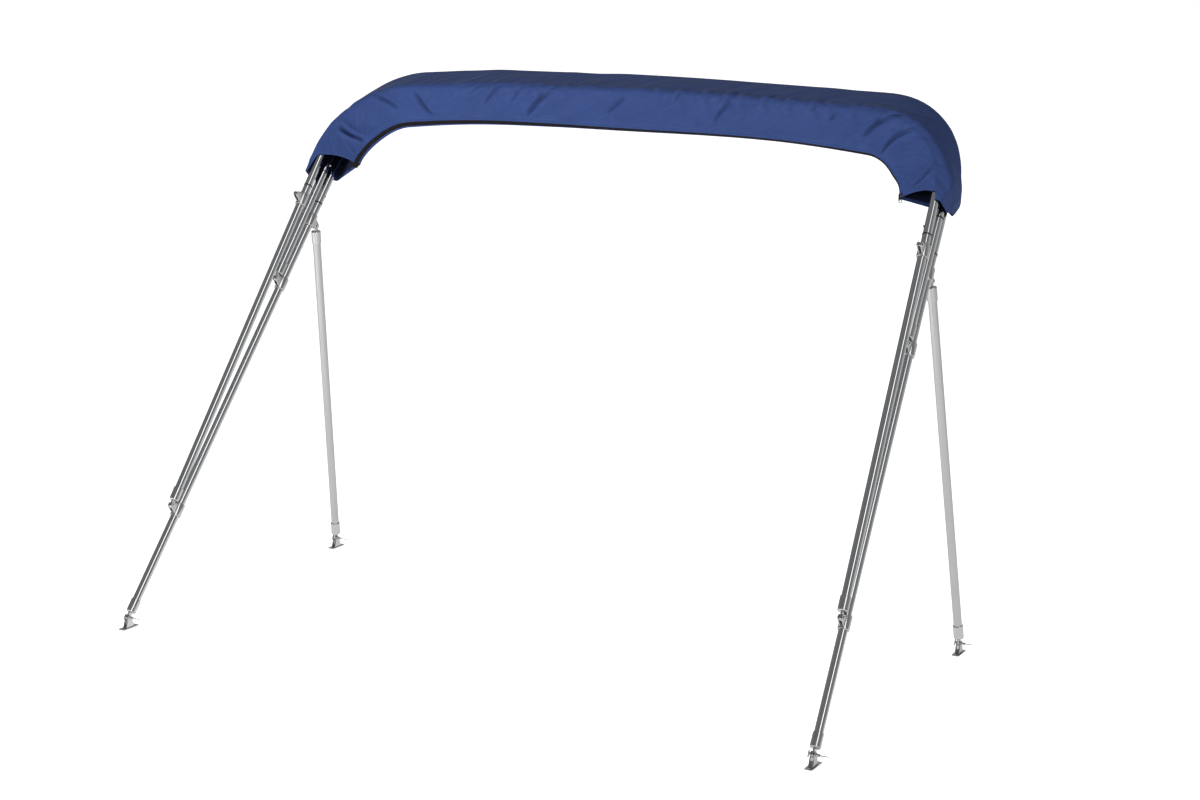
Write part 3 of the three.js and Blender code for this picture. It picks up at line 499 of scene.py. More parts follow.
MATERIAL_NAMES = {
    "cloth": "Boot cloth",
    "coated": "Coated inner side",
    "tape": "Zip tape",
    "coil": "Zip coil",
    "thread": "Sewing thread",
    "ring": "Joint ring",
    "fitting": "Polished fitting",
    "zip_metal": "Zip metal",
    "bright": "Bright tube",
    "satin": "Satin tube",
}


def make_materials(scene):
    """Makes every material of the object, in the colours that the sidebar holds."""
    names = MATERIAL_NAMES
    boot, sewing, tubes = scene.bimini_boot, scene.bimini_zip, scene.bimini_tubes
    groups = {"weave": weave_group(), "wear": wear_group()}
    cloth_material(names["cloth"], boot.blue, groups)
    # The coated inner side is partly painted shade: its colour is darkened for the inside of the sleeve.
    cloth_material(names["coated"], boot.coating_and_shade, groups)
    textile_material(names["tape"], sewing.tape, 0.0009, groups)
    bead_material(names["coil"], sewing.coil, 0.45)
    bead_material(names["thread"], sewing.thread, 0.75)
    bead_material(names["ring"], tubes.dark, 0.5)
    metal_material(names["fitting"], scene.bimini_fittings.metal, 0.1, 0.24, 26.0, groups)
    metal_material(names["zip_metal"], sewing.metal, 0.25, 0.45, 90.0, groups)
    drawn_tube_material(names["bright"], tubes.bright, 0.04, 0.12, groups)
    drawn_tube_material(names["satin"], tubes.satin, 0.13, 0.25, groups)


def materials():
    """Every material of the object, made at the first call and then looked up."""
    if MATERIAL_NAMES["cloth"] not in bpy.data.materials:
        make_materials(bpy.context.scene)
    return {key: bpy.data.materials[label] for key, label in MATERIAL_NAMES.items()}


# Meshes


def plain_mesh(name, verts, faces):
    mesh = bpy.data.meshes.new(name)
    mesh.from_pydata([tuple(v) for v in verts], [], faces)
    mesh.update()
    return mesh


def new_object(name, data):
    made = bpy.data.objects.new(name, data)
    bpy.context.scene.collection.objects.link(made)
    return made


def evaluated_mesh(obj):
    """The mesh that an object shows, with the object and its own data removed."""
    depsgraph = bpy.context.evaluated_depsgraph_get()
    mesh = bpy.data.meshes.new_from_object(obj.evaluated_get(depsgraph))
    bpy.data.objects.remove(obj)
    return mesh


def finish_piece(name, mesh, key, body, nodes=(), sharp=32):
    """A finished piece at the origin, with its material and its body; the CAD nodes that it stands for are
    hidden.
    """
    mesh.materials.clear()
    mesh.materials.append(materials()[key])
    mesh.shade_smooth()
    mesh.set_sharp_from_angle(angle=radians(sharp))
    piece = new_object(name, mesh)
    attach(piece, body)
    if nodes:
        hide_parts(*nodes)
    return piece


def turned(profile, sides, loop=False):
    """A solid of revolution about Z. Its profile of (radius, height) runs up the outer side,
    and it starts and ends on the axis unless it closes on itself as a loop."""
    verts, rings = [], []
    for radius, height in profile:
        count = sides if radius > 0 else 1
        rings.append([len(verts) + k for k in range(count)])
        verts += [(radius * cos(2 * pi * k / sides), radius * sin(2 * pi * k / sides), height)
                  for k in range(count)]
    faces = []
    for low, high in zip(rings, rings[1:] + rings[:1] if loop else rings[1:]):
        for k in range(sides):
            corners = (low[k % len(low)], low[(k + 1) % len(low)],
                       high[(k + 1) % len(high)], high[k % len(high)])
            faces.append(tuple(dict.fromkeys(corners)))
    return plain_mesh("turned", verts, faces)


def rounded(radius, low, high, edge):
    """The profile of a plain round bar whose two ends have rounded edges."""
    steps = [radians(a) for a in (0, 30, 60, 90)]
    foot = [(radius - edge + edge * sin(a), low + edge - edge * cos(a)) for a in steps]
    head = [(radius - edge + edge * cos(a), high - edge + edge * sin(a)) for a in steps]
    return [(0, low), *foot, *head, (0, high)]


def pipe(outer, inner, low, high, edge):
    """The looped profile of a pipe with small rounded edges."""
    return [(inner, low), (outer - edge, low), (outer, low + edge),
            (outer, high - edge), (outer - edge, high), (inner, high)]


def arc(x, y, radius, start, end, steps):
    angles = (start + (end - start) * k / steps for k in range(steps + 1))
    return [(x + radius * cos(a), y + radius * sin(a)) for a in angles]


def circle(x, y, radius, steps=20):
    return arc(x, y, radius, 0, 2 * pi, steps)[:-1]


def plate(outline, holes, thickness, edge):
    """A flat plate in XY with holes and rounded edges, its middle at z 0."""
    curve = bpy.data.curves.new("plate", "CURVE")
    curve.dimensions = "2D"
    curve.fill_mode = "BOTH"
    for points in (outline, *holes):
        spline = curve.splines.new("POLY")
        spline.points.add(len(points) - 1)
        for point, (x, y) in zip(spline.points, points):
            point.co = (x, y, 0, 1)
        spline.use_cyclic_u = True
    curve.extrude = thickness / 2 - edge
    curve.bevel_depth = edge
    curve.bevel_resolution = 1
    curve.offset = -edge
    return welded(evaluated_mesh(new_object("plate", curve)))


def welded(mesh):
    """The mesh with its doubles merged and its faces turned outwards."""
    work = bmesh.new()
    work.from_mesh(mesh)
    bmesh.ops.remove_doubles(work, verts=work.verts, dist=1e-6)
    bmesh.ops.recalc_face_normals(work, faces=work.faces)
    work.to_mesh(mesh)
    work.free()
    return mesh


def placed(mesh, matrix):
    mesh.transform(matrix)
    return mesh


def joined(meshes, cutters=()):
    """One mesh from closed meshes that meet, less the cutters."""
    base = new_object("joined", meshes[0])
    tools = []
    for mesh, operation in [(m, "UNION") for m in meshes[1:]] + [(m, "DIFFERENCE") for m in cutters]:
        tools.append(new_object("tool", mesh))
        modifier = base.modifiers.new("join", "BOOLEAN")
        modifier.operation = operation
        modifier.solver = "EXACT"
        modifier.object = tools[-1]
    mesh = evaluated_mesh(base)
    for tool in tools:
        bpy.data.objects.remove(tool)
    return mesh


def turn(angle, axis):
    return Matrix.Rotation(angle, 4, axis)


def move(x, y, z):
    return Matrix.Translation((x, y, z))


# A plate drawn in (Y, Z) stands across X.
ACROSS = turn(pi / 2, "Z") @ turn(pi / 2, "X")
ALONG_X = turn(pi / 2, "Y")

# The frames of reference: the leaning bows, the front and middle bow, and the support poles.
BOWS = Matrix.Translation(DECK + Vector((0, 0, PIN_HEIGHT))) @ turn(-LEAN, "X")
BOW_AT = {
    "front": BOWS @ move(0, -JAW_REACH, PIVOT["front"]) @ turn(FRONT_TILT, "X"),
    "middle": BOWS @ move(0, -JAW_REACH, PIVOT["middle"]),
    "main": BOWS,
}
POLE_TOP_Y = PIVOT["pole"] * sin(LEAN) + JAW_REACH * cos(LEAN)
POLE_RISE = PIVOT["pole"] * cos(LEAN) - JAW_REACH * sin(LEAN)
POLE_HEIGHT = hypot(POLE_Y - POLE_TOP_Y, POLE_RISE)
POLES = (Matrix.Translation(DECK + Vector((0, POLE_Y, PIN_HEIGHT)))
         @ turn(atan2(POLE_Y - POLE_TOP_Y, POLE_RISE), "X"))


def main_half_width(height):
    return HALF_WIDTH + SPLAY * (LEG["main"] - height)


POLE_TOP_X = main_half_width(PIVOT["pole"])
FOOT_X = {name: main_half_width(PIVOT.get(name, 0)) for name in LEG}


def leg_tip(name):
    """How far a bow's legs tip inwards from its foot to its joint rings."""
    return atan((FOOT_X[name] - HALF_WIDTH) / LEG[name])


# Geometry Nodes trees


def geometry_tree(name, inputs):
    """A new Geometry Nodes tree with named inputs, and its output."""
    group = bpy.data.node_groups.new(name, "GeometryNodeTree")
    group.interface.new_socket("Geometry", in_out="INPUT", socket_type="NodeSocketGeometry")
    for label, kind in inputs.items():
        group.interface.new_socket(label, in_out="INPUT", socket_type="NodeSocket" + kind)
    group.interface.new_socket("Geometry", in_out="OUTPUT", socket_type="NodeSocketGeometry")
    tree = Tree(group)
    return group, tree, tree.add("NodeGroupInput").outputs


def end_tree(tree, geometry, material):
    """Ends a tree in Realize Instances and Set Material."""
    real = tree.add("GeometryNodeRealizeInstances", {"Geometry": geometry}).outputs[0]
    painted = tree.add("GeometryNodeSetMaterial", {"Geometry": real, "Material": material})
    tree.add("NodeGroupOutput", {0: painted.outputs[0]})


def named(tree, kind, label):
    node = tree.add("GeometryNodeInputNamedAttribute", {"Name": label}, data_type=kind)
    return node.outputs["Attribute"]


def stored(tree, geometry, label, value):
    inputs = {"Geometry": geometry, "Name": label, "Value": value}
    return tree.add("GeometryNodeStoreNamedAttribute", inputs, data_type="FLOAT").outputs[0]


def tube_tree():
    """A round tube along a line, with its place round and along it kept for the material."""
    inputs = {"Radius": "Float", "Sides": "Int", "Material": "Material"}
    group, tree, given = geometry_tree("Tube along a line", inputs)
    line = tree.add("GeometryNodeMeshToCurve", {0: given["Geometry"]}).outputs[0]
    place = tree.add("GeometryNodeSplineParameter").outputs
    line = stored(tree, line, "run", place["Length"])
    ring = tree.add("GeometryNodeCurvePrimitiveCircle",
                    {"Resolution": given["Sides"], "Radius": given["Radius"]}).outputs[0]
    ring = stored(tree, ring, "around", place["Factor"])
    inputs = {"Curve": line, "Profile Curve": ring, "Fill Caps": True}
    tube = tree.add("GeometryNodeCurveToMesh", inputs).outputs[0]
    end_tree(tree, tube, given["Material"])
    return group


def bead_tree():
    """Small rounded beads, such as stitches or a coil's turns, at an even pitch along guide
    lines. Each guide point holds `out`, the direction in which the surface faces."""
    inputs = {"Pitch": "Float", "Size": "Vector", "Uneven": "Float", "Material": "Material"}
    group, tree, given = geometry_tree("Beads along a seam", inputs)
    line = tree.add("GeometryNodeMeshToCurve", {0: given["Geometry"]}).outputs[0]
    inputs = {"Curve": line, "Length": given["Pitch"]}
    spaced = tree.add("GeometryNodeResampleCurve", inputs, mode="LENGTH")
    tangent = tree.add("GeometryNodeInputTangent").outputs[0]
    inputs = {0: named(tree, "FLOAT_VECTOR", "out"), 1: tangent}
    facing = tree.add("FunctionNodeAxesToRotation", inputs, primary_axis="Z", secondary_axis="X")
    bead = tree.add("GeometryNodeMeshUVSphere", {"Segments": 8, "Rings": 5, "Radius": 0.5})
    low = tree.math("SUBTRACT", 1.0, given["Uneven"])
    high = tree.math("ADD", 1.0, given["Uneven"])
    spread = tree.add("FunctionNodeRandomValue", {"Min": low, "Max": high, "Seed": 7},
                      data_type="FLOAT")
    scale = tree.add("ShaderNodeVectorMath", {0: given["Size"]}, operation="SCALE")
    tree.feed(scale.inputs["Scale"], spread.outputs["Value"])
    inputs = {"Points": spaced.outputs[0], "Instance": bead.outputs[0],
              "Rotation": facing.outputs[0], "Scale": scale.outputs[0]}
    beads = tree.add("GeometryNodeInstanceOnPoints", inputs).outputs[0]
    end_tree(tree, beads, given["Material"])
    return group


def grown(guide, tree, values):
    """The plain mesh that a Geometry Nodes tree makes from a guide mesh."""
    carrier = new_object("guide", guide)
    modifier = carrier.modifiers.new("grow", "NODES")
    modifier.node_group = tree
    for item in tree.interface.items_tree:
        if item.in_out == "INPUT" and item.name in values:
            modifier[item.identifier] = values[item.name]
    return evaluated_mesh(carrier)


def kept_tree(name, make):
    return bpy.data.node_groups.get(name) or make()


def guide_line(lines):
    """A guide mesh of lines: each is an array of points, and of the outward direction there."""
    mesh = bpy.data.meshes.new("guide")
    verts, edges, outs = [], [], []
    for points, directions in lines:
        first = len(verts)
        verts += [tuple(p) for p in points]
        edges += [(first + k, first + k + 1) for k in range(len(points) - 1)]
        outs += [tuple(d) for d in directions]
    mesh.from_pydata(verts, edges, [])
    attribute = mesh.attributes.new("out", "FLOAT_VECTOR", "POINT")
    attribute.data.foreach_set("vector", np.array(outs, np.float32).ravel())
    return mesh


# Bow lines and the boot's cross planes. In a plane, f is forward of the main bow's plane and
# o is outward from the front bow's axis.

ARC_X = HALF_WIDTH - SPLAY * STRAIGHT - BEND_RADIUS * cos(SPLAY_ANGLE)
ARC_Z = STRAIGHT - BEND_RADIUS * sin(SPLAY_ANGLE)
ARC_END = pi / 2 - CROWN_ANGLE
CROWN_RADIUS = BEND_RADIUS + ARC_X / sin(CROWN_ANGLE)
CROWN_Z = ARC_Z + (BEND_RADIUS - CROWN_RADIUS) * cos(CROWN_ANGLE)
CROWN_HALF = CROWN_RADIUS * CROWN_ANGLE
BEND_LENGTH = BEND_RADIUS * (ARC_END - SPLAY_ANGLE)
FRONT_S = PIVOT["front"] + LEG["front"] * cos(FRONT_TILT)
FRONT_F = JAW_REACH + LEG["front"] * sin(FRONT_TILT)
MIDDLE_S = PIVOT["middle"] + LEG["middle"]
MAIN_S = LEG["main"]


def bow_line(drop, bend_steps=26, crown_steps=24):
    """The middle line of a bow top, from its left joint ring to its right one."""
    start = RING_HALF + GAP - drop
    half = [(HALF_WIDTH - SPLAY * start, start)]
    for k in range(bend_steps + 1):
        angle = SPLAY_ANGLE + (ARC_END - SPLAY_ANGLE) * k / bend_steps
        half.append((ARC_X + BEND_RADIUS * cos(angle), ARC_Z + BEND_RADIUS * sin(angle)))
    for k in range(1, crown_steps + 1):
        angle = CROWN_ANGLE * (1 - k / crown_steps)
        half.append((CROWN_RADIUS * sin(angle), CROWN_Z + CROWN_RADIUS * cos(angle)))
    left = [(-x, 0, z) for x, z in half]
    return left + [(x, 0, z) for x, z in half[-2::-1]]


def spine(along):
    """The front bow's axis at distances along it, and the outward direction there."""
    into = np.maximum(np.abs(along) - CROWN_HALF, 0)
    down = np.maximum(into - BEND_LENGTH, 0)
    on_crown = np.abs(along) / CROWN_RADIUS
    angle = np.where(into > 0, np.maximum(ARC_END - into / BEND_RADIUS, SPLAY_ANGLE), pi / 2 - on_crown)
    radius = np.where(into > 0, BEND_RADIUS, CROWN_RADIUS)
    x = np.where(into > 0, ARC_X, 0) + radius * np.cos(angle) + down * sin(SPLAY_ANGLE)
    z = np.where(into > 0, ARC_Z, CROWN_Z) + radius * np.sin(angle) - down * cos(SPLAY_ANGLE)
    side = np.where(along < 0, -1.0, 1.0)
    return {"x": side * x, "s": FRONT_S + z, "out_x": side * np.cos(angle), "out_s": np.sin(angle)}


def outside_bow(x, s, ring_s):
    """How far points lie outside the line of a bow whose joint rings are at ring_s."""
    wide, high = np.abs(x) - ARC_X, s - ring_s - ARC_Z
    angle = np.arctan2(high, wide)
    crown = np.hypot(x, s - ring_s - CROWN_Z) - CROWN_RADIUS
    leg = np.abs(x) - (HALF_WIDTH - SPLAY * (s - ring_s))
    bend = np.where(angle > SPLAY_ANGLE, np.hypot(wide, high) - BEND_RADIUS, leg)
    return np.where((wide < 0) | (angle > ARC_END), crown, bend)


def crossing(place, ring_s, reach=(-0.12, 0.2), halvings=24):
    """How far out from the spine a bow's axis crosses each plane, found by halving."""
    inner, outer = (np.full_like(place["x"], end) for end in reach)
    for _ in range(halvings):
        o = (inner + outer) / 2
        x, s = place["x"] + o * place["out_x"], place["s"] + o * place["out_s"]
        inside = outside_bow(x, s, ring_s) < 0
        inner, outer = np.where(inside, o, inner), np.where(inside, outer, o)
    return inner


def boot_row(along):
    """The boot's depth, forward, zip and slack, on smooth curves through the table's rows."""
    last = len(BOOT_ROWS) - 1
    n = np.clip(np.searchsorted(BOOT_ROWS[:, 0], along, side="right"), 1, last)
    before, a = BOOT_ROWS[np.maximum(n - 2, 0)], BOOT_ROWS[n - 1]
    b, after = BOOT_ROWS[n], BOOT_ROWS[np.minimum(n + 1, last)]
    run = (b - a)[:, :1]
    t = ((along - a[:, 0]) / run[:, 0])[:, None]
    start_slope = (b - before) / (b - before)[:, :1] * run
    end_slope = (after - a) / (after - a)[:, :1] * run
    rows = a + (b - a) * t * t * (3 - 2 * t) + t * (1 - t) * ((1 - t) * start_slope - t * end_slope)
    return rows[:, 1:].T


def rounds_at(place, row):
    """The rounds that the cloth passes over, from the bottom fold up the front and over the
    bows: f, o, radius, and how far the round follows the hem's outer and back parts."""
    depth, forward, _, slack = row
    flat = np.zeros_like(depth)
    leg = 1 - place["out_s"]
    front = FRONT_F + (place["s"] - FRONT_S) * tan(FRONT_TILT)
    middle, main = crossing(place, MIDDLE_S), crossing(place, MAIN_S)
    apart = 0.0002
    return [
        (forward, -depth, FOLD_RADIUS, 0.0, 0.3),
        (front, flat, WRAP, 0.4, 0.0),
        (front - apart, slack, WRAP, 1.3, 0.0),
        (flat + JAW_REACH, middle + slack, WRAP, 1.3, 0.0),
        (flat, main + slack, WRAP, 0.8, 0.3),
        (-BACK["slack"] * leg, main - BACK["drop"] - BACK["leg_drop"] * leg, WRAP, 0.0, 1.0),
    ]


def on_round(ring, angle):
    """Points on a round, as f, o, nf, no, outer and back, where nf and no face outwards."""
    f, o, radius, outer, back = ring
    nf, no = np.cos(angle), np.sin(angle)
    keep = np.zeros_like(nf)
    return np.array((f + radius * nf, o + radius * no, nf, no, outer + keep, back + keep))


def cross_planes(along):
    """The rounds at each place, the outward direction of the flat after each, and the zip."""
    place, row = spine(along), boot_row(along)
    rounds = rounds_at(place, row)
    flats = []
    for a, b in zip(rounds, rounds[1:] + rounds[:1]):
        df, do = b[0] - a[0], b[1] - a[1]
        flats.append(np.arctan2(do, df) - np.arccos((a[2] - b[2]) / np.hypot(df, do)))
    start, end = on_round(rounds[0], flats[0]), on_round(rounds[1], flats[0])
    height = np.hypot(end[0] - start[0], end[1] - start[1])
    return {"place": place, "zip": row[2], "rounds": rounds, "flats": flats,
            "start": start, "end": end, "height": height}


def on_panel(planes, up):
    """Points of the front panel at a height on it, or below 0 round the bottom fold."""
    t = np.maximum(up, 0) / planes["height"]
    panel = planes["start"] + (planes["end"] - planes["start"]) * t
    fold = on_round(planes["rounds"][0], planes["flats"][0] + np.minimum(up, 0) / FOLD_RADIUS)
    return np.where(up < 0, fold, panel)


def slot_half(along):
    """How far the cloth's edge lies above the zip's middle, more towards the left end."""
    return SLIT / 2 + SLIT_WIDER["by"] * smooth(-along, SLIT_WIDER["from"], SLIT_WIDER["to"])


def section(along):
    """The cloth's points in the cross planes, from the zip's front edge up, over the bows and
    down to the zip's back edge: an array of f, o, nf, no, outer and back, and drop."""
    planes = cross_planes(along)
    rounds, flats, height = planes["rounds"], planes["flats"], planes["height"]
    low = planes["zip"] + slot_half(along)
    points = [on_panel(planes, low + (height - low) * k / FLAT_STEPS[0]) for k in range(FLAT_STEPS[0])]
    count = len(rounds)
    heading = flats[0]
    for i in range(1, count + 1):
        ring, to = rounds[i % count], flats[i % count]
        to = np.where(to < heading - HEADING_FALL, to + 2 * pi, to)
        start, end = on_round(ring, to), on_round(rounds[(i + 1) % count], to)
        last = i == count
        if last:
            to = to + np.minimum(planes["zip"] - SLIT / 2 - FOLD_SHORT, 0) / FOLD_RADIUS
        steps, span = ROUND_STEPS[i % count], FLAT_STEPS[i % count]
        points += [on_round(ring, heading + (to - heading) * k / steps) for k in range(steps + 1)]
        if not last:
            points += [start + (end - start) * k / span for k in range(1, span)]
        heading = to
    points.append(on_panel(planes, planes["zip"] - SLIT / 2))
    points = np.array(points).transpose(1, 2, 0)
    step = np.hypot(np.diff(points[0]), np.diff(points[1]))
    run = np.concatenate([np.zeros((len(along), 1)), np.cumsum(step, axis=1)], axis=1)
    drop = run[:, FLAT_STEPS[0], None] - run
    return planes, points, drop


def slanted(along, outer, back, arch=0.0):
    """Slants the sleeve's ends: the outer side and the back go further than the zip, and the
    arch takes the front panel's hem up between its corners."""
    side = np.where(along < 0, -1, 1)
    zip_at, outer_at, back_at = (np.where(side < 0, a, b) for a, b in zip(HEM[-1], HEM[1]))
    near = np.maximum(1 - (zip_at - np.abs(along)) / HEM_SPREAD, 0)
    more = outer * (outer_at - zip_at) + back * (back_at - zip_at) - arch
    return along + side * near * near * more


def smooth(x, low, high):
    t = np.clip((x - low) / (high - low), 0, 1)
    return t * t * (3 - 2 * t)


def soft_noise(x, y, seed):
    """Smooth seeded noise from -1 to 1, with about one bump for each unit."""
    cells = 64
    table = np.random.default_rng(seed).uniform(-1, 1, (cells, cells))
    i, j = np.floor(x).astype(int), np.floor(y).astype(int)
    u, v = smooth(x - i, 0, 1), smooth(y - j, 0, 1)
    low = table[i % cells, j % cells] * (1 - u) + table[(i + 1) % cells, j % cells] * u
    high = table[i % cells, (j + 1) % cells] * (1 - u) + table[(i + 1) % cells, (j + 1) % cells] * u
    return low * (1 - v) + high * v


def furrow(along, drop, start, end, bow, width):
    """A soft furrow between two points: 1 on its line, below 0 on the swell beside it, and
    fading out towards its ends."""
    run, fall = end[0] - start[0], end[1] - start[1]
    length = hypot(run, fall)
    t = np.clip(((along - start[0]) * run + (drop - start[1]) * fall) / length**2, 0, 1)
    lateral = ((drop - start[1]) * run - (along - start[0]) * fall) / length
    middle = 4 * t * (1 - t)
    lateral = lateral - bow * middle
    trough = np.exp(-((lateral / width) ** 2))
    swell = np.exp(-((np.abs(lateral) / width - FURROW["swell_at"]) ** 2))
    return (trough - FURROW["swell"] * swell) * middle ** FURROW["fade"]


def waves(along, drop, kind):
    """The cloth's small waves of one kind, from -1 to 1."""
    across = (along + kind["lean"] * drop) / kind["across"]
    return soft_noise(across, (drop - kind["turn"] * along) / kind["along"], kind["seed"])


def relief(along, drop, up, boot):
    """How far the cloth stands out of its plain shape, along its outward direction. up is the
    distance from the cloth's edge at the zip."""
    height = np.zeros_like(along + drop)
    for table, scale, narrow in ((FOLDS, boot.fold, 1.0), (CREASES, boot.crease, CREASE_NARROW)):
        for a, d, to_a, to_d, bow, depth, width in table:
            wide = narrow * width
            height -= scale * depth * furrow(along, drop, (a, d), (to_a, to_d), bow, wide)
    for a, tall in PUCKERS:
        top, foot = (a, PUCKER["above"]), (a - PUCKER["lean"], PUCKER["below"])
        height += boot.pucker * tall * furrow(along, drop, top, foot, 0, PUCKER["width"])
    face = smooth(drop, *FACE_FROM)
    strip = waves(along, drop, STRIP) * smooth(drop, *STRIP_FROM)
    rumple = DRAG["share"] * waves(along, drop, DRAG) * face
    rumple += STRIP["share"] * strip * (1 - face)
    rumple += SWELL["share"] * waves(along, drop, SWELL)
    height = (height + boot.rumple * rumple) * smooth(up, *BACKED["fade"])
    return np.maximum(height, -BACKED["sink"] - BACKED["free_sink"] * smooth(up, *BACKED["free"]))


def painted_crease_shade(along, drop):
    """How far points lie in the bottom of a narrow crease, from 0 to 1: the painted shade that darkens the
    cloth's colour there.
    """
    deepest = np.zeros_like(along + drop)
    for a, d, to_a, to_d, bow, depth, width in CREASES:
        inside = furrow(along, drop, (a, d), (to_a, to_d), bow, CREASE_SHADE["width"] * width)
        deepest = np.maximum(deepest, inside * min(depth / CREASE_SHADE["depth"], 1))
    return deepest


def in_bows(place, f, o):
    """Points of the cross planes in the leaning bows' frame."""
    return np.stack([place["x"] + o * place["out_x"], -f, place["s"] + o * place["out_s"]], -1)


def to_world(points):
    matrix = np.array(BOWS)
    return points @ matrix[:3, :3].T + matrix[:3, 3]


class Sleeve:
    """The boot's surface between its two hems, as grids over stations and section points."""

    def __init__(self, boot):
        self.boot = boot
        step = 0.005
        first = BOOT_ROWS[0, 0] + step
        grid = np.arange(first, BOOT_ROWS[-1, 0] - step / 2, step)
        planes, points, drop = section(grid)
        place = {key: value[:, None] for key, value in planes["place"].items()}
        f, o, nf, no = points[:4]
        base = in_bows(place, f, o)
        facing = in_bows({**place, "x": 0, "s": 0}, nf, no)
        up = planes["height"][:, None] - drop - planes["zip"][:, None] - slot_half(grid)[:, None]
        up = np.where(drop > BACK_FROM, up, drop - drop[:, -1:])
        bow = np.abs(self.bow_clearance(planes, f, o))
        table = np.concatenate([base, facing, drop[..., None], up[..., None], bow[..., None]], -1)
        weights = points[4:, 0, :]
        self.stations = self.station_places(boot.stations, boot.hem)
        share_up = np.clip(np.arange(table.shape[1]) / FLAT_STEPS[0], 0, 1)
        arch = HEM_ARCH * 4 * share_up * (1 - share_up)
        self.there = slanted(self.stations[:, None], weights[0][None], weights[1][None], arch)
        at = (self.there - first) / step
        low = np.clip(np.floor(at).astype(int), 0, len(grid) - 2)
        column = np.arange(table.shape[1])[None]
        t = (at - low)[..., None]
        value = table[low, column] * (1 - t) + table[low + 1, column] * t
        self.base, self.facing = value[..., :3], value[..., 3:6]
        self.drop, self.up, self.clear = value[..., 6], value[..., 7], value[..., 8]
        self.facing = self.facing / np.linalg.norm(self.facing, axis=-1, keepdims=True)
        self.from_edge = np.minimum(self.there - self.there[:1], self.there[-1:] - self.there)
        self.height = self.heights()

    @staticmethod
    def bow_clearance(planes, f, o):
        """How far the middle of the cloth lies from the nearest bow's axis."""
        place = {key: value[:, None] for key, value in planes["place"].items()}
        point = in_bows(place, f, o)
        near = np.full(f.shape, 1.0)
        bows = ((MAIN_S, 0.0), (MIDDLE_S, JAW_REACH), (FRONT_S, None))
        for ring_s, forward in bows:
            plane = FRONT_F + (point[..., 2] - FRONT_S) * tan(FRONT_TILT) if forward is None else forward
            off = np.hypot(outside_bow(point[..., 0], point[..., 2], ring_s), f - plane)
            near = np.minimum(near, off)
        return near

    @staticmethod
    def station_places(count, hem):
        """Stations from hem to hem, closer together at the hems."""
        fine = 9
        low, high = -HEM[-1][0], HEM[1][0]
        wide = 1.7 * hem
        ends = np.linspace(0, wide, fine, endpoint=False)
        middle = np.linspace(low + wide, high - wide, count - 2 * fine)
        return np.concatenate([low + ends, middle, high - ends[::-1]])

    def heights(self):
        """The cloth's relief, with its hems, kept clear of the bows that it lies on."""
        boot, hem = self.boot, self.boot.hem
        height = relief(self.there, self.drop, self.up, boot)
        fold = 1 - smooth(self.from_edge, hem * HEM_FOLD["from"], hem * HEM_FOLD["to"])
        groove = (self.from_edge - hem * HEM_GROOVE["at"]) / HEM_GROOVE["width"]
        height += HEM_FOLD["height"] * fold - HEM_GROOVE["depth"] * np.exp(-(groove**2))
        seam = self.up - SEAM
        lap = LAP["height"] * smooth(-seam, 0, LAP["edge"])
        lap -= LAP_GROOVE["depth"] * np.exp(-((seam / LAP_GROOVE["width"]) ** 2))
        height += smooth(self.drop, *LAP["drops"]) * lap
        lowest = BOW_CLEAR - self.clear + boot.thickness / 2
        return np.maximum(height, np.minimum(lowest, 0))

    def points(self, out):
        return to_world(self.base + self.facing * (self.height + out)[..., None])

    def directions(self):
        return self.facing @ np.array(BOWS)[:3, :3].T


def sheet_mesh(name, outer, inner, across, along):
    """A closed thin solid between two grids of points, with a UV map in metres."""
    rows, columns = outer.shape[:2]
    index = np.arange(rows * columns * 2).reshape(2, rows, columns)
    top, under = index

    def quads(a, b, c, d):
        return np.stack([a.ravel(), b.ravel(), c.ravel(), d.ravel()], -1)

    def rim(a, b):
        return quads(a[:-1], b[:-1], b[1:], a[1:])

    faces = np.concatenate([
        quads(top[:-1, :-1], top[1:, :-1], top[1:, 1:], top[:-1, 1:]),
        quads(under[:-1, :-1], under[:-1, 1:], under[1:, 1:], under[1:, :-1]),
        rim(top[:, 0], under[:, 0]),
        rim(under[:, -1], top[:, -1]),
        rim(under[0], top[0]),
        rim(top[-1], under[-1]),
    ])
    verts = np.concatenate([outer.reshape(-1, 3), inner.reshape(-1, 3)])
    mesh = plain_mesh(name, verts, faces.tolist())
    uv = np.stack([np.broadcast_to(along, outer.shape[:2]), np.broadcast_to(across, outer.shape[:2])], -1)
    uv = np.concatenate([uv.reshape(-1, 2)] * 2).astype(np.float32)
    layer = mesh.uv_layers.new(name="Cloth")
    corners = np.zeros(len(mesh.loops), np.int32)
    mesh.loops.foreach_get("vertex_index", corners)
    layer.data.foreach_set("uv", uv[corners].ravel())
    return mesh


def near_zip(along, up, out):
    """Points by the zip: up from its middle and out of the cloth's, with the hems' slant."""
    level = cross_planes(along)
    outer, back = on_panel(level, level["zip"] + up)[4:]
    planes = cross_planes(slanted(along, outer, back))
    f, o, nf, no, _, _ = on_panel(planes, planes["zip"] + up)
    place = planes["place"]
    direction = in_bows({**place, "x": 0, "s": 0}, nf, no) @ np.array(BOWS)[:3, :3].T
    return to_world(in_bows(place, f + out * nf, o + out * no)), direction


def zip_places(over=0.0, count=420):
    return np.linspace(-HEM[-1][0] - over, HEM[1][0], count)


# Operators


class BuildOperator:
    """What every operator here shares: it can be undone."""

    bl_options = {"REGISTER", "UNDO"}


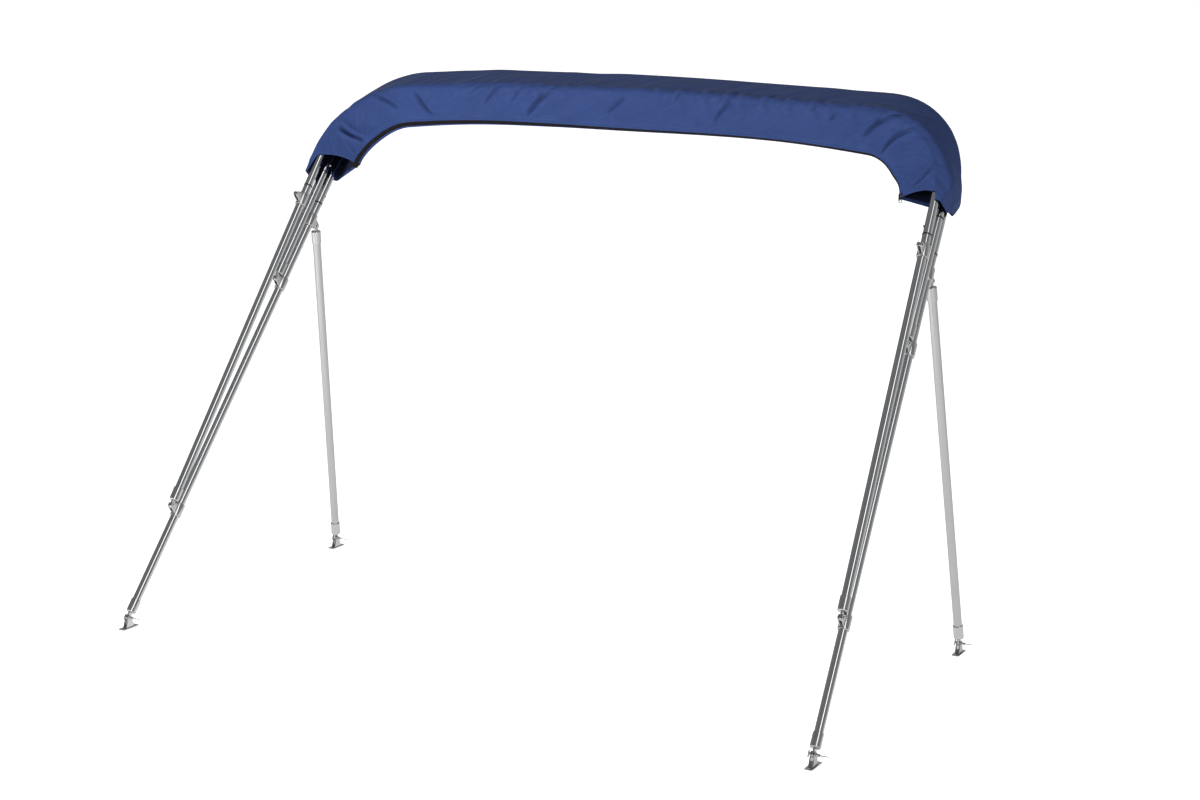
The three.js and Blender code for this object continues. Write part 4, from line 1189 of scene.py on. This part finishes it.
class BIMINI_OT_bow_tops(BuildOperator, bpy.types.Operator):
    """The three bent tubes that the boot is drawn over."""

    bl_idname = "bimini.bow_tops"
    bl_label = "Bow tops"

    def execute(self, context):
        tubes = context.scene.bimini_tubes
        tree = kept_tree("Tube along a line", tube_tree)
        for name, drop in RING_DROP.items():
            line = bow_line(drop)
            guide = bpy.data.meshes.new("guide")
            guide.from_pydata(line, [(k, k + 1) for k in range(len(line) - 1)], [])
            guide.transform(BOW_AT[name] @ move(0, 0, LEG[name]))
            values = {"Radius": tubes.radius, "Sides": tubes.sides, "Material": materials()["bright"]}
            mesh = grown(guide, tree, values)
            nodes = [f"bow_{name}_top"]
            finish_piece(f"bow_{name}_tube", mesh, "bright", "frame", nodes)
        return {"FINISHED"}


def straight_tube(low, high, tubes):
    """A hollow tube up Z, with its place round and along it kept for the material."""
    mesh = turned(pipe(tubes.radius, tubes.radius - tubes.wall, low, high, GAP), tubes.sides, loop=True)
    points = np.zeros(len(mesh.vertices) * 3, np.float32)
    mesh.vertices.foreach_get("co", points)
    x, y, z = points.reshape(-1, 3).T
    for label, values in (("around", np.arctan2(y, x) / (2 * pi)), ("run", z)):
        mesh.attributes.new(label, "FLOAT", "POINT").data.foreach_set("value", values)
    return mesh


class BIMINI_OT_straight_tubes(BuildOperator, bpy.types.Operator):
    """The six leg tubes of the bows and the two support poles."""

    bl_idname = "bimini.straight_tubes"
    bl_label = "Legs and poles"

    def execute(self, context):
        tubes = context.scene.bimini_tubes
        start = CAP["start"] + CAP["floor"] + GAP
        for side, sign in SIDES:
            for name in LEG:
                end = hypot(LEG[name], FOOT_X[name] - HALF_WIDTH) - RING_DROP[name] - RING_HALF - GAP
                at = BOW_AT[name] @ move(sign * FOOT_X[name], 0, 0) @ turn(-sign * leg_tip(name), "Y")
                mesh = placed(straight_tube(start, end, tubes), at)
                node = f"leg_{name}_{side}"
                finish_piece(f"{node}_tube", mesh, "bright", "frame", [node])
            tip = atan((POLE_X - POLE_TOP_X) / POLE_HEIGHT)
            at = POLES @ move(sign * POLE_X, 0, 0) @ turn(-sign * tip, "Y")
            mesh = placed(straight_tube(start, hypot(POLE_HEIGHT, POLE_X - POLE_TOP_X) - start, tubes), at)
            body = f"support_pole_{side}"
            finish_piece(f"pole_{side}_tube", mesh, "satin", body, [f"pole_{side}"])
        return {"FINISHED"}


class BIMINI_OT_joints(BuildOperator, bpy.types.Operator):
    """The dark rings where the legs meet the bow tops, and the snap buttons above them."""

    bl_idname = "bimini.joints"
    bl_label = "Joint rings and snap buttons"

    def execute(self, context):
        tubes = context.scene.bimini_tubes
        band = rounded(tubes.ring, -RING_BAND["half"], RING_BAND["half"], RING_BAND["edge"])
        stud = rounded(tubes.button, -BUTTON["root"], BUTTON["proud"], BUTTON["edge"])
        for side, sign in SIDES:
            for name in LEG:
                drop = RING_DROP[name]
                at = BOW_AT[name] @ move(sign * (HALF_WIDTH + SPLAY * drop), 0, LEG[name] - drop)
                at = at @ turn(-sign * leg_tip(name), "Y")
                mesh = placed(turned(band, tubes.sides), at)
                node = f"joint_ring_{name}_{side}"
                finish_piece(f"{node}_band", mesh, "ring", "frame", [node])
                seat = at @ move(-sign * (tubes.radius - BUTTON["sunk"]), 0, BUTTON["rise"])
                button = placed(turned(stud, 20), seat @ turn(-sign * pi / 2, "Y"))
                finish_piece(f"snap_button_{name}_{side}", button, "fitting", "frame")
        return {"FINISHED"}


def eye_end(tip, edge):
    """A cap over a tube's end with a flat tongue beyond it, its pin hole at the origin."""
    low, high = CAP["start"], CAP["start"] + CAP["length"]
    outer, bore, floor = CAP["outer"], CAP["bore"], low + CAP["floor"]
    curve = CAP_EDGE["round"]
    profile = [(0, low), (outer - curve, low), (outer - curve / 2, low + CAP_EDGE["shoulder"]),
               (outer, low + curve), (outer, high - CAP_EDGE["rim"]),
               (outer - CAP_EDGE["rim_in"], high), (bore, high), (bore, floor), (0, floor)]
    cup = placed(turned(profile, 40), turn(tip, "Y"))
    half = TONGUE["half_width"]
    root = low + CAP["floor"] / 2
    outline = [(half, root), (-half, root), *arc(0, 0, TONGUE["tip"], pi, 2 * pi, 18)]
    tongue = plate(outline, [circle(0, 0, HOLE)], TONGUE["thickness"], edge)
    return joined([cup, placed(tongue, ACROSS)])


def ear_pair(outline, hole, edge):
    """The two plates of a jaw, one on each side of the tongue."""
    middle = EAR["gap"] + EAR["thickness"] / 2
    pair = []
    for x in (-middle, middle):
        ear = plate(outline, [circle(*hole, HOLE)], EAR["thickness"], edge)
        pair.append(placed(ear, move(x, 0, 0) @ ACROSS))
    return pair


def jaw_slide(tip, edge):
    """A sleeve on the tube with two ears in front that hold a bolt."""
    half, reach, root = SLEEVE["length"] / 2, JAW_REACH, EAR["root_at"]
    outline = [(-root, EAR["root_half"]), *arc(-reach, 0, EAR["tip"], pi / 2, 1.5 * pi, 18),
               (-root, -EAR["root_half"])]
    bar, bore, end = rounded(SLEEVE["outer"], -half, half, SLEEVE["edge"]), SLEEVE["bore"], 2 * half
    sleeve = placed(turned(bar, 40), turn(tip, "Y"))
    cutter = turned([(0, -end), (bore, -end), (bore, end), (0, end)], 40)
    ears = ear_pair(outline, (-reach, 0), edge)
    return joined([sleeve, *ears], [placed(cutter, turn(tip, "Y"))])


def jaw_bolt(fittings):
    """A bolt across a jaw, with a domed head on one side and a cap nut on the other."""
    tall, head, reach = BOLT_HEAD["height"], fittings.head, EAR_FACE + BOLT_OVER
    shank = placed(turned(rounded(fittings.bolt, -reach, reach, GAP), 20), ALONG_X)
    dome = turned([(0, 0), (head - BOLT_HEAD["rim_in"], 0), (head, BOLT_HEAD["rim"]),
                   *((head * across, tall * up) for across, up in DOME), (0, tall)], 24)
    nut = turned([(0, 0), (head, 0), (head, tall * NUT["shoulder"]),
                  (head - NUT["chamfer"], tall), (0, tall)], 6)
    return joined([shank, placed(dome, move(-EAR_FACE, 0, 0) @ turn(-pi / 2, "Y")),
                   placed(nut, move(EAR_FACE, 0, 0) @ ALONG_X)])


class BIMINI_OT_eye_ends(BuildOperator, bpy.types.Operator):
    """The ten capped tube ends with their tongues."""

    bl_idname = "bimini.eye_ends"
    bl_label = "Eye ends"

    def execute(self, context):
        edge = context.scene.bimini_fittings.edge
        pole_tip = atan((POLE_X - POLE_TOP_X) / POLE_HEIGHT)
        for side, sign in SIDES:
            for name in LEG:
                at = BOW_AT[name] @ move(sign * FOOT_X[name], 0, 0)
                mesh = placed(eye_end(-sign * leg_tip(name), edge), at)
                node = f"eye_{name}_{side}"
                finish_piece(f"{node}_cap", mesh, "fitting", "frame", [node])
            ends = (
                ("foot", -sign * pole_tip, move(sign * POLE_X, 0, 0)),
                ("top", sign * pole_tip, move(sign * POLE_TOP_X, 0, POLE_HEIGHT) @ turn(pi, "X")),
            )
            for end, tip, at in ends:
                node = f"eye_pole_{end}_{side}"
                mesh = placed(eye_end(tip, edge), POLES @ at)
                finish_piece(f"{node}_cap", mesh, "fitting", f"support_pole_{side}", [node])
        return {"FINISHED"}


class BIMINI_OT_slides(BuildOperator, bpy.types.Operator):
    """The eight jaw slides with their bolts."""

    bl_idname = "bimini.slides"
    bl_label = "Jaw slides and bolts"

    def execute(self, context):
        fittings = context.scene.bimini_fittings
        strap_x = HALF_WIDTH + SPLAY * STRAP_SLIDE_DROP
        pairs = [(name, BOWS, main_half_width(PIVOT[name]), PIVOT[name], 1 if name == "pole" else -1)
                 for name in PIVOT]
        pairs.append(("strap", BOW_AT["front"], strap_x, LEG["front"] - STRAP_SLIDE_DROP, -1))
        for name, group, x, height, facing in pairs:
            for side, sign in SIDES:
                at = group @ move(sign * x, 0, height)
                slide = jaw_slide(facing * sign * SPLAY_ANGLE, fittings.edge)
                slide.transform(at @ turn(pi if facing > 0 else 0, "Z"))
                node = f"slide_{name}_{side}"
                finish_piece(f"{node}_jaw", slide, "fitting", "frame", [node])
                bolt = placed(jaw_bolt(fittings), at @ move(0, facing * JAW_REACH, 0))
                node = f"bolt_{name}_{side}"
                finish_piece(f"{node}_metal", bolt, "fitting", "frame", [node])
        return {"FINISHED"}


def deck_hinge(edge):
    """A deck plate for two screws, with two ears for the quick-release pin."""
    x, y = PLATE["width"] / 2 - PLATE["corner"], PLATE["length"] / 2 - PLATE["corner"]
    outline = []
    for k, (sx, sy) in enumerate(((1, 1), (-1, 1), (-1, -1), (1, -1))):
        outline += arc(sx * x, sy * y, PLATE["corner"], k * pi / 2, (k + 1) * pi / 2, 5)
    holes = [circle(0, sy * SCREW["at"], SCREW["hole"]) for sy in (-1, 1)]
    foot = placed(plate(outline, holes, PLATE["thickness"], edge), move(0, 0, PLATE["thickness"] / 2))
    root = PLATE["thickness"] / 2
    outline = [(-HINGE_EAR["root_half"], root), (HINGE_EAR["root_half"], root),
               *arc(0, PIN_HEIGHT, HINGE_EAR["tip"], 0, pi, 18)]
    return joined([foot, *ear_pair(outline, (0, PIN_HEIGHT), edge)])


def ring_mesh(radius, wire, sides=40, round_sides=10):
    """A closed wire ring in XY."""
    verts = []
    for k in range(sides):
        for n in range(round_sides):
            reach = radius + wire * cos(2 * pi * n / round_sides)
            a = 2 * pi * k / sides
            verts.append((reach * cos(a), reach * sin(a), wire * sin(2 * pi * n / round_sides)))
    faces = []
    for k in range(sides):
        for n in range(round_sides):
            here, there = k * round_sides, (k + 1) % sides * round_sides
            m = (n + 1) % round_sides
            faces.append((here + n, there + n, there + m, here + m))
    return plain_mesh("ring", verts, faces)


def release_pin(fittings):
    """A pin with a toggle on one end, and on the other a stem that holds a pull ring."""
    face, ring, wide = EAR_FACE, PIN_RING["radius"], COLLAR["radius"]
    end = face + PIN_RING["stem"]
    shaft = turned(rounded(fittings.bolt, -face - TOGGLE["reach"], face + BOLT_OVER, GAP), 20)
    bar = turned(rounded(TOGGLE["radius"], -TOGGLE["half"], TOGGLE["half"], TOGGLE["edge"]), 16)
    collar = turned([(0, face), (wide, face), (wide, face + COLLAR["height"]),
                     (STEM["radius"], face + COLLAR["to_stem"]),
                     (STEM["radius"], end - STEM["tip_height"]), (STEM["tip"], end), (0, end)], 20)
    at = move(end + ring - PIN_RING["wire"], 0, 0)
    hoop = placed(ring_mesh(ring, PIN_RING["wire"]), at @ turn(-PIN_RING["turn"], "X"))
    bar_at = move(-face - TOGGLE["reach"] + TOGGLE["root"], 0, 0) @ turn(-TOGGLE["lean"], "X")
    return joined([placed(shaft, ALONG_X), placed(collar, ALONG_X), hoop, placed(bar, bar_at)])


class BIMINI_OT_feet(BuildOperator, bpy.types.Operator):
    """The four deck hinges and their quick-release pins."""

    bl_idname = "bimini.feet"
    bl_label = "Deck hinges and pins"

    def execute(self, context):
        fittings = context.scene.bimini_fittings
        for name, x, y in (("main", main_half_width(0), 0), ("pole", POLE_X, POLE_Y)):
            for side, sign in SIDES:
                at = Matrix.Translation(DECK + Vector((sign * x, y, 0)))
                body = f"{name}_foot_{side}"
                hinge = placed(deck_hinge(fittings.edge), at)
                node = f"hinge_{name}_{side}"
                finish_piece(f"{node}_plate", hinge, "fitting", body, [node])
                pin = placed(release_pin(fittings), at @ move(0, 0, PIN_HEIGHT))
                node = f"pin_{name}_{side}"
                finish_piece(f"{node}_metal", pin, "fitting", body, [node])
        return {"FINISHED"}


class BIMINI_OT_boot(BuildOperator, bpy.types.Operator):
    """The storage boot: one cut of cloth with its creases, puckers and hems."""

    bl_idname = "bimini.boot"
    bl_label = "Storage boot"

    def execute(self, context):
        boot = context.scene.bimini_boot
        sleeve = Sleeve(boot)
        half = boot.thickness / 2
        mesh = sheet_mesh("boot", sleeve.points(half), sleeve.points(-half), sleeve.drop, sleeve.there)
        # The trough attribute holds painted shade for the bottoms of the narrow creases.
        shade = np.tile(painted_crease_shade(sleeve.there, sleeve.drop).ravel(), 2).astype(np.float32)
        mesh.attributes.new("trough", "FLOAT", "POINT").data.foreach_set("value", shade)
        piece = finish_piece("boot_cloth", mesh, "cloth", "frame", ["boot"], sharp=60)
        # The inner side beyond the hems takes the coated material, whose near-black colour is partly
        # painted shade inside the sleeve.
        piece.data.materials.append(materials()["coated"])
        beyond_hem = (sleeve.from_edge[1:, 1:] > boot.hem).ravel()
        index = np.zeros(len(mesh.polygons), np.int32)
        index[beyond_hem.size:2 * beyond_hem.size] = beyond_hem
        mesh.polygons.foreach_set("material_index", index)
        return {"FINISHED"}


class BIMINI_OT_zip(BuildOperator, bpy.types.Operator):
    """The zip's tape, coil, slider and pull ring."""

    bl_idname = "bimini.zip"
    bl_label = "Zip"

    def execute(self, context):
        sewing = context.scene.bimini_zip
        top = -TAPE["under"] - GAP
        places = zip_places(TAPE["over"])
        faces = [np.stack([near_zip(places, up, out)[0] for up in TAPE["across"]], 1)
                 for out in (top, top - TAPE["thickness"])]
        mesh = sheet_mesh("tape", *faces, np.array(TAPE["across"])[None], places[:, None])
        finish_piece("zip_tape_woven", mesh, "tape", "frame", ["zip_tape"])
        rows = [near_zip(zip_places(), 0.0, top + 2 * GAP + sewing.tooth[2] / 2)]
        values = {"Pitch": sewing.pitch, "Size": sewing.tooth, "Uneven": 0.04,
                  "Material": materials()["coil"]}
        mesh = grown(guide_line(rows), kept_tree("Beads along a seam", bead_tree), values)
        finish_piece("zip_teeth", mesh, "coil", "frame", ["zip_coil"])
        self.add_slider()
        return {"FINISHED"}

    def add_slider(self):
        """The slider at the zip's right end, and its pull ring, hung from the tab's hole."""
        along = HEM[1][0] - SLIDER["length"] / 2 - 2 * SLIDER["tab_thickness"]
        lift, level, near = SLIDER["lift"] + 2 * GAP, SLIDER["up"], 0.001
        spots = near_zip(np.array([along, along + near]), level, lift)[0]
        seat, ahead = (Vector(spot) for spot in spots)
        above = Vector(near_zip(np.array([along]), level + near, lift)[0][0])
        x = (ahead - seat).normalized()
        z = x.cross(above - seat).normalized()
        matrix = Matrix.Translation(seat) @ Matrix((x, z.cross(x), z)).transposed().to_4x4()
        half = SLIDER["width"] / 2
        body = turned(rounded(half, 0, SLIDER["height"], SLIDER["edge"]), 28)
        body.transform(Matrix.Diagonal((SLIDER["length"] / SLIDER["width"], 1, 1, 1)))
        hole = (SLIDER["length"] / 2 + SLIDER["tab"], SLIDER["height"] + PULL["hole"] / 2)
        outline = [(0, SLIDER["height"] / 2), *arc(*hole, PULL["tip"], -pi / 2, pi / 2, 14)]
        outline.append((0, hole[1] + PULL["tip"]))
        tab = plate(outline, [circle(*hole, PULL["hole"])], SLIDER["tab_thickness"], GAP)
        mesh = placed(joined([body, placed(tab, turn(pi / 2, "X"))]), matrix)
        finish_piece("zip_slider_body", mesh, "zip_metal", "frame", ["zip_slider"])
        up = (above - seat).normalized()
        down = BOWS.to_3x3() @ Vector((0, sin(LEAN), -cos(LEAN)))
        down = (down - up * (down.dot(up) - PULL["forward"])).normalized()
        hang = PULL["hole"] - PULL["wire"] - GAP + PULL["radius"]
        centre = matrix @ Vector((hole[0], 0, hole[1])) + down * hang
        side = up.cross(-down).normalized()
        turned_to = Matrix((down, side.cross(down), side)).transposed().to_4x4()
        ring = ring_mesh(PULL["radius"], PULL["wire"], 32, 8)
        ring.transform(Matrix.Translation(centre) @ turned_to)
        finish_piece("zip_pull_ring_wire", ring, "zip_metal", "frame", ["zip_pull_ring"])


class BIMINI_OT_stitches(BuildOperator, bpy.types.Operator):
    """The sewing: a topstitch beside the zip, one behind it, and one along each hem."""

    bl_idname = "bimini.stitches"
    bl_label = "Stitches"

    def execute(self, context):
        boot, sewing = context.scene.bimini_boot, context.scene.bimini_zip
        out = boot.thickness / 2
        places = zip_places()[3:-3]
        above = slot_half(places) + SEAM
        rows = [near_zip(places, above, out), near_zip(places, -SLIT / 2 - STITCH_INSET, out)]
        sleeve = Sleeve(boot)
        points, directions = sleeve.points(out), sleeve.directions()
        # A hem's stitches follow the row of the cloth's grid that lies nearest to its groove.
        near_hem, column = 40, 60
        for edge in (slice(None), slice(None, None, -1)):
            distance = sleeve.from_edge[edge][:near_hem, column]
            row = int(np.argmin(np.abs(distance - HEM_GROOVE["at"] * boot.hem)))
            rows.append((points[edge][row], directions[edge][row]))
        values = {"Pitch": sewing.stitch_pitch, "Size": sewing.stitch, "Uneven": 0.12,
                  "Material": materials()["thread"]}
        mesh = grown(guide_line(rows), kept_tree("Beads along a seam", bead_tree), values)
        finish_piece("boot_stitches", mesh, "thread", "frame")
        return {"FINISHED"}


# The stage


def look_at(spot, target):
    return (Vector(target) - Vector(spot)).to_track_quat("-Z", "Y").to_euler()


def soft_light(name, spot, target, width, height, power):
    light = bpy.data.lights.new(name, "AREA")
    light.shape = "RECTANGLE"
    light.size, light.size_y = width, height
    light.energy = power
    made = new_object(name, light)
    made.visible_glossy = False
    made.location = spot
    made.rotation_euler = look_at(spot, target)
    return made


# The camera's and the lights' places are measured from DECK. A light has its place, the point
# that it faces, its width and its height.
CAMERA = {"azimuth": radians(28.092), "elevation": radians(11.346), "roll": radians(1.146)}
CAMERA_SPOT = (2.673976, -4.234369, 1.721473)
LIGHTS = {
    "key": ((-2.0, -3.9, 1.35), (0.1, 0.9, 1.3), 0.9, 0.9),
    "strip": ((3.6, 0.2, 2.2), (0, 0.5, 0.8), 0.3, 3.0),
    "top": ((-0.5, 0.2, 4.2), (0, 0.5, 0), 3.5, 3.5),
}
FLOOR_DROP = 0.0002
# The studio's walls as the tubes mirror them: degrees to the right of the camera, brightness.
STUDIO_BANDS = (
    (-180, 0.2), (-164, 0.2), (-158, 0.01), (-144, 0.01), (-130, 0.13), (-60, 0.09),
    (-16, 0.14), (-11, 0.01), (6, 0.01), (10, 1.0), (31, 1.0), (36, 0.04), (46, 0.04),
    (54, 0.14), (88, 0.14), (94, 0.28), (124, 0.24), (138, 0.01), (158, 0.01), (164, 0.2),
    (180, 0.2),
)
SKY = 0.11
STUDIO_STRENGTH = 1.9


def studio_world():
    """White to the camera, and to the bright metal a studio with paler and darker walls."""
    world = bpy.data.worlds.new("Studio")
    bpy.context.scene.world = world
    world.use_nodes = True
    tree = Tree(world.node_tree)
    shown = world.node_tree.nodes["Background"]
    shown.inputs["Color"].default_value = (1.0, 1.0, 1.0, 1.0)
    place = tree.add("ShaderNodeTexCoord").outputs["Generated"]
    turned_by = {"Vector": place, "Rotation": (0.0, 0.0, pi / 2 - CAMERA["azimuth"])}
    facing = tree.add("ShaderNodeMapping", turned_by).outputs[0]
    axes = tree.add("ShaderNodeSeparateXYZ", {"Vector": facing}).outputs
    angle = tree.math("ARCTAN2", axes["Y"], axes["X"])
    walls = tree.add("ShaderNodeValToRGB", {"Fac": tree.ramp(angle, -pi, pi, 0.0, 1.0)})
    bands = walls.color_ramp.elements
    for _ in STUDIO_BANDS[2:]:
        bands.new(0.5)
    for band, (turn_from_camera, level) in zip(bands, STUDIO_BANDS):
        band.position = 0.5 + turn_from_camera / 360
        band.color = (level, level, level, 1.0)
    high = tree.ramp(axes["Z"], 0.8, 0.97, 0.0, 1.0)
    both = {"Factor": high, "A": walls.outputs["Color"], "B": (SKY, SKY, SKY, 1.0)}
    mixed = tree.add("ShaderNodeMix", {}, data_type="RGBA")
    for label, value in both.items():
        socket = next(s for s in mixed.inputs if s.name == label and s.enabled)
        tree.feed(socket, value)
    light = next(s for s in mixed.outputs if s.enabled)
    room = tree.add("ShaderNodeBackground", {"Color": light, "Strength": STUDIO_STRENGTH})
    seen = tree.add("ShaderNodeLightPath").outputs["Is Camera Ray"]
    both = tree.add("ShaderNodeMixShader", {0: seen, 1: room.outputs[0], 2: shown.outputs[0]})
    tree.feed(world.node_tree.nodes["World Output"].inputs["Surface"], both.outputs[0])


class BIMINI_OT_stage(BuildOperator, bpy.types.Operator):
    """The camera at the photograph's view, a plain pale floor and soft studio light."""

    bl_idname = "bimini.stage"
    bl_label = "Camera, floor and lights"

    def execute(self, context):
        stage = context.scene.bimini_stage
        camera = new_object("camera", bpy.data.cameras.new("camera"))
        camera.data.lens = stage.lens
        camera.data.sensor_width = 36.0
        camera.data.clip_end = 400.0
        azimuth, elevation, roll = CAMERA.values()
        spot = DECK + Vector(CAMERA_SPOT)
        turned_to = turn(azimuth, "Z") @ turn(pi / 2 - elevation, "X") @ turn(roll, "Z")
        camera.matrix_world = Matrix.Translation(spot) @ turned_to
        context.scene.camera = camera
        context.scene.view_settings.view_transform = "Standard"
        self.add_floor(stage)
        for name, (at, to, width, height) in LIGHTS.items():
            at, to = DECK + Vector(at), DECK + Vector(to)
            soft_light(name, at, to, width, height, getattr(stage, name))
        studio_world()
        return {"FINISHED"}

    def add_floor(self, stage):
        half = stage.floor / 2
        corners = [(-half, -half, 0), (half, -half, 0), (half, half, 0), (-half, half, 0)]
        floor = new_object("floor", plain_mesh("floor", corners, [(0, 1, 2, 3)]))
        floor.location.z = -FLOOR_DROP
        made, tree, shader = new_material("Pale floor", stage.pale, 0.9, Specular_IOR_Level=0.1)
        seen = tree.add("ShaderNodeLightPath").outputs["Is Camera Ray"]
        tree.feed(shader.inputs["Emission Strength"], tree.ramp(seen, 0.0, 1.0, 0.32, 0.9))
        shader.inputs["Emission Color"].default_value = (1.0, 1.0, 1.0, 1.0)
        place = tree.add("ShaderNodeTexCoord").outputs["Object"]
        tree.feed(shader.inputs["Roughness"], tree.ramp(tree.noise(place, 3.0), 0.0, 1.0, 0.8, 1.0))
        floor.data.materials.append(made)


class BIMINI_PT_panel(bpy.types.Panel):
    """Lists the pieces of the bimini top in the sidebar."""

    bl_idname = "BIMINI_PT_panel"
    bl_label = "Bimini top"
    bl_space_type = "VIEW_3D"
    bl_region_type = "UI"
    bl_category = "Bimini top"

    def draw(self, context):
        for operator in OPERATORS:
            self.layout.operator(operator.bl_idname)
        for label in SETTINGS:
            box = self.layout.box()
            settings = getattr(context.scene, label)
            for key in settings.bl_rna.properties.keys():
                if key not in {"rna_type", "name"}:
                    box.prop(settings, key)


SETTINGS = {
    "bimini_tubes": TubeSettings,
    "bimini_fittings": FittingSettings,
    "bimini_boot": BootSettings,
    "bimini_zip": ZipSettings,
    "bimini_stage": StageSettings,
}
OPERATORS = (
    BIMINI_OT_stage,
    BIMINI_OT_bow_tops,
    BIMINI_OT_straight_tubes,
    BIMINI_OT_joints,
    BIMINI_OT_eye_ends,
    BIMINI_OT_slides,
    BIMINI_OT_feet,
    BIMINI_OT_boot,
    BIMINI_OT_zip,
    BIMINI_OT_stitches,
)


def register():
    for made in (*SETTINGS.values(), *OPERATORS, BIMINI_PT_panel):
        bpy.utils.register_class(made)
    for label, made in SETTINGS.items():
        setattr(bpy.types.Scene, label, PointerProperty(type=made))


def unregister():
    for label in SETTINGS:
        delattr(bpy.types.Scene, label)
    for made in reversed((*SETTINGS.values(), *OPERATORS, BIMINI_PT_panel)):
        bpy.utils.unregister_class(made)


def main():
    register()
    for operator in OPERATORS:
        getattr(bpy.ops.bimini, operator.bl_idname.split(".")[1])()
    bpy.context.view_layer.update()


if __name__ == "__main__":
    main()
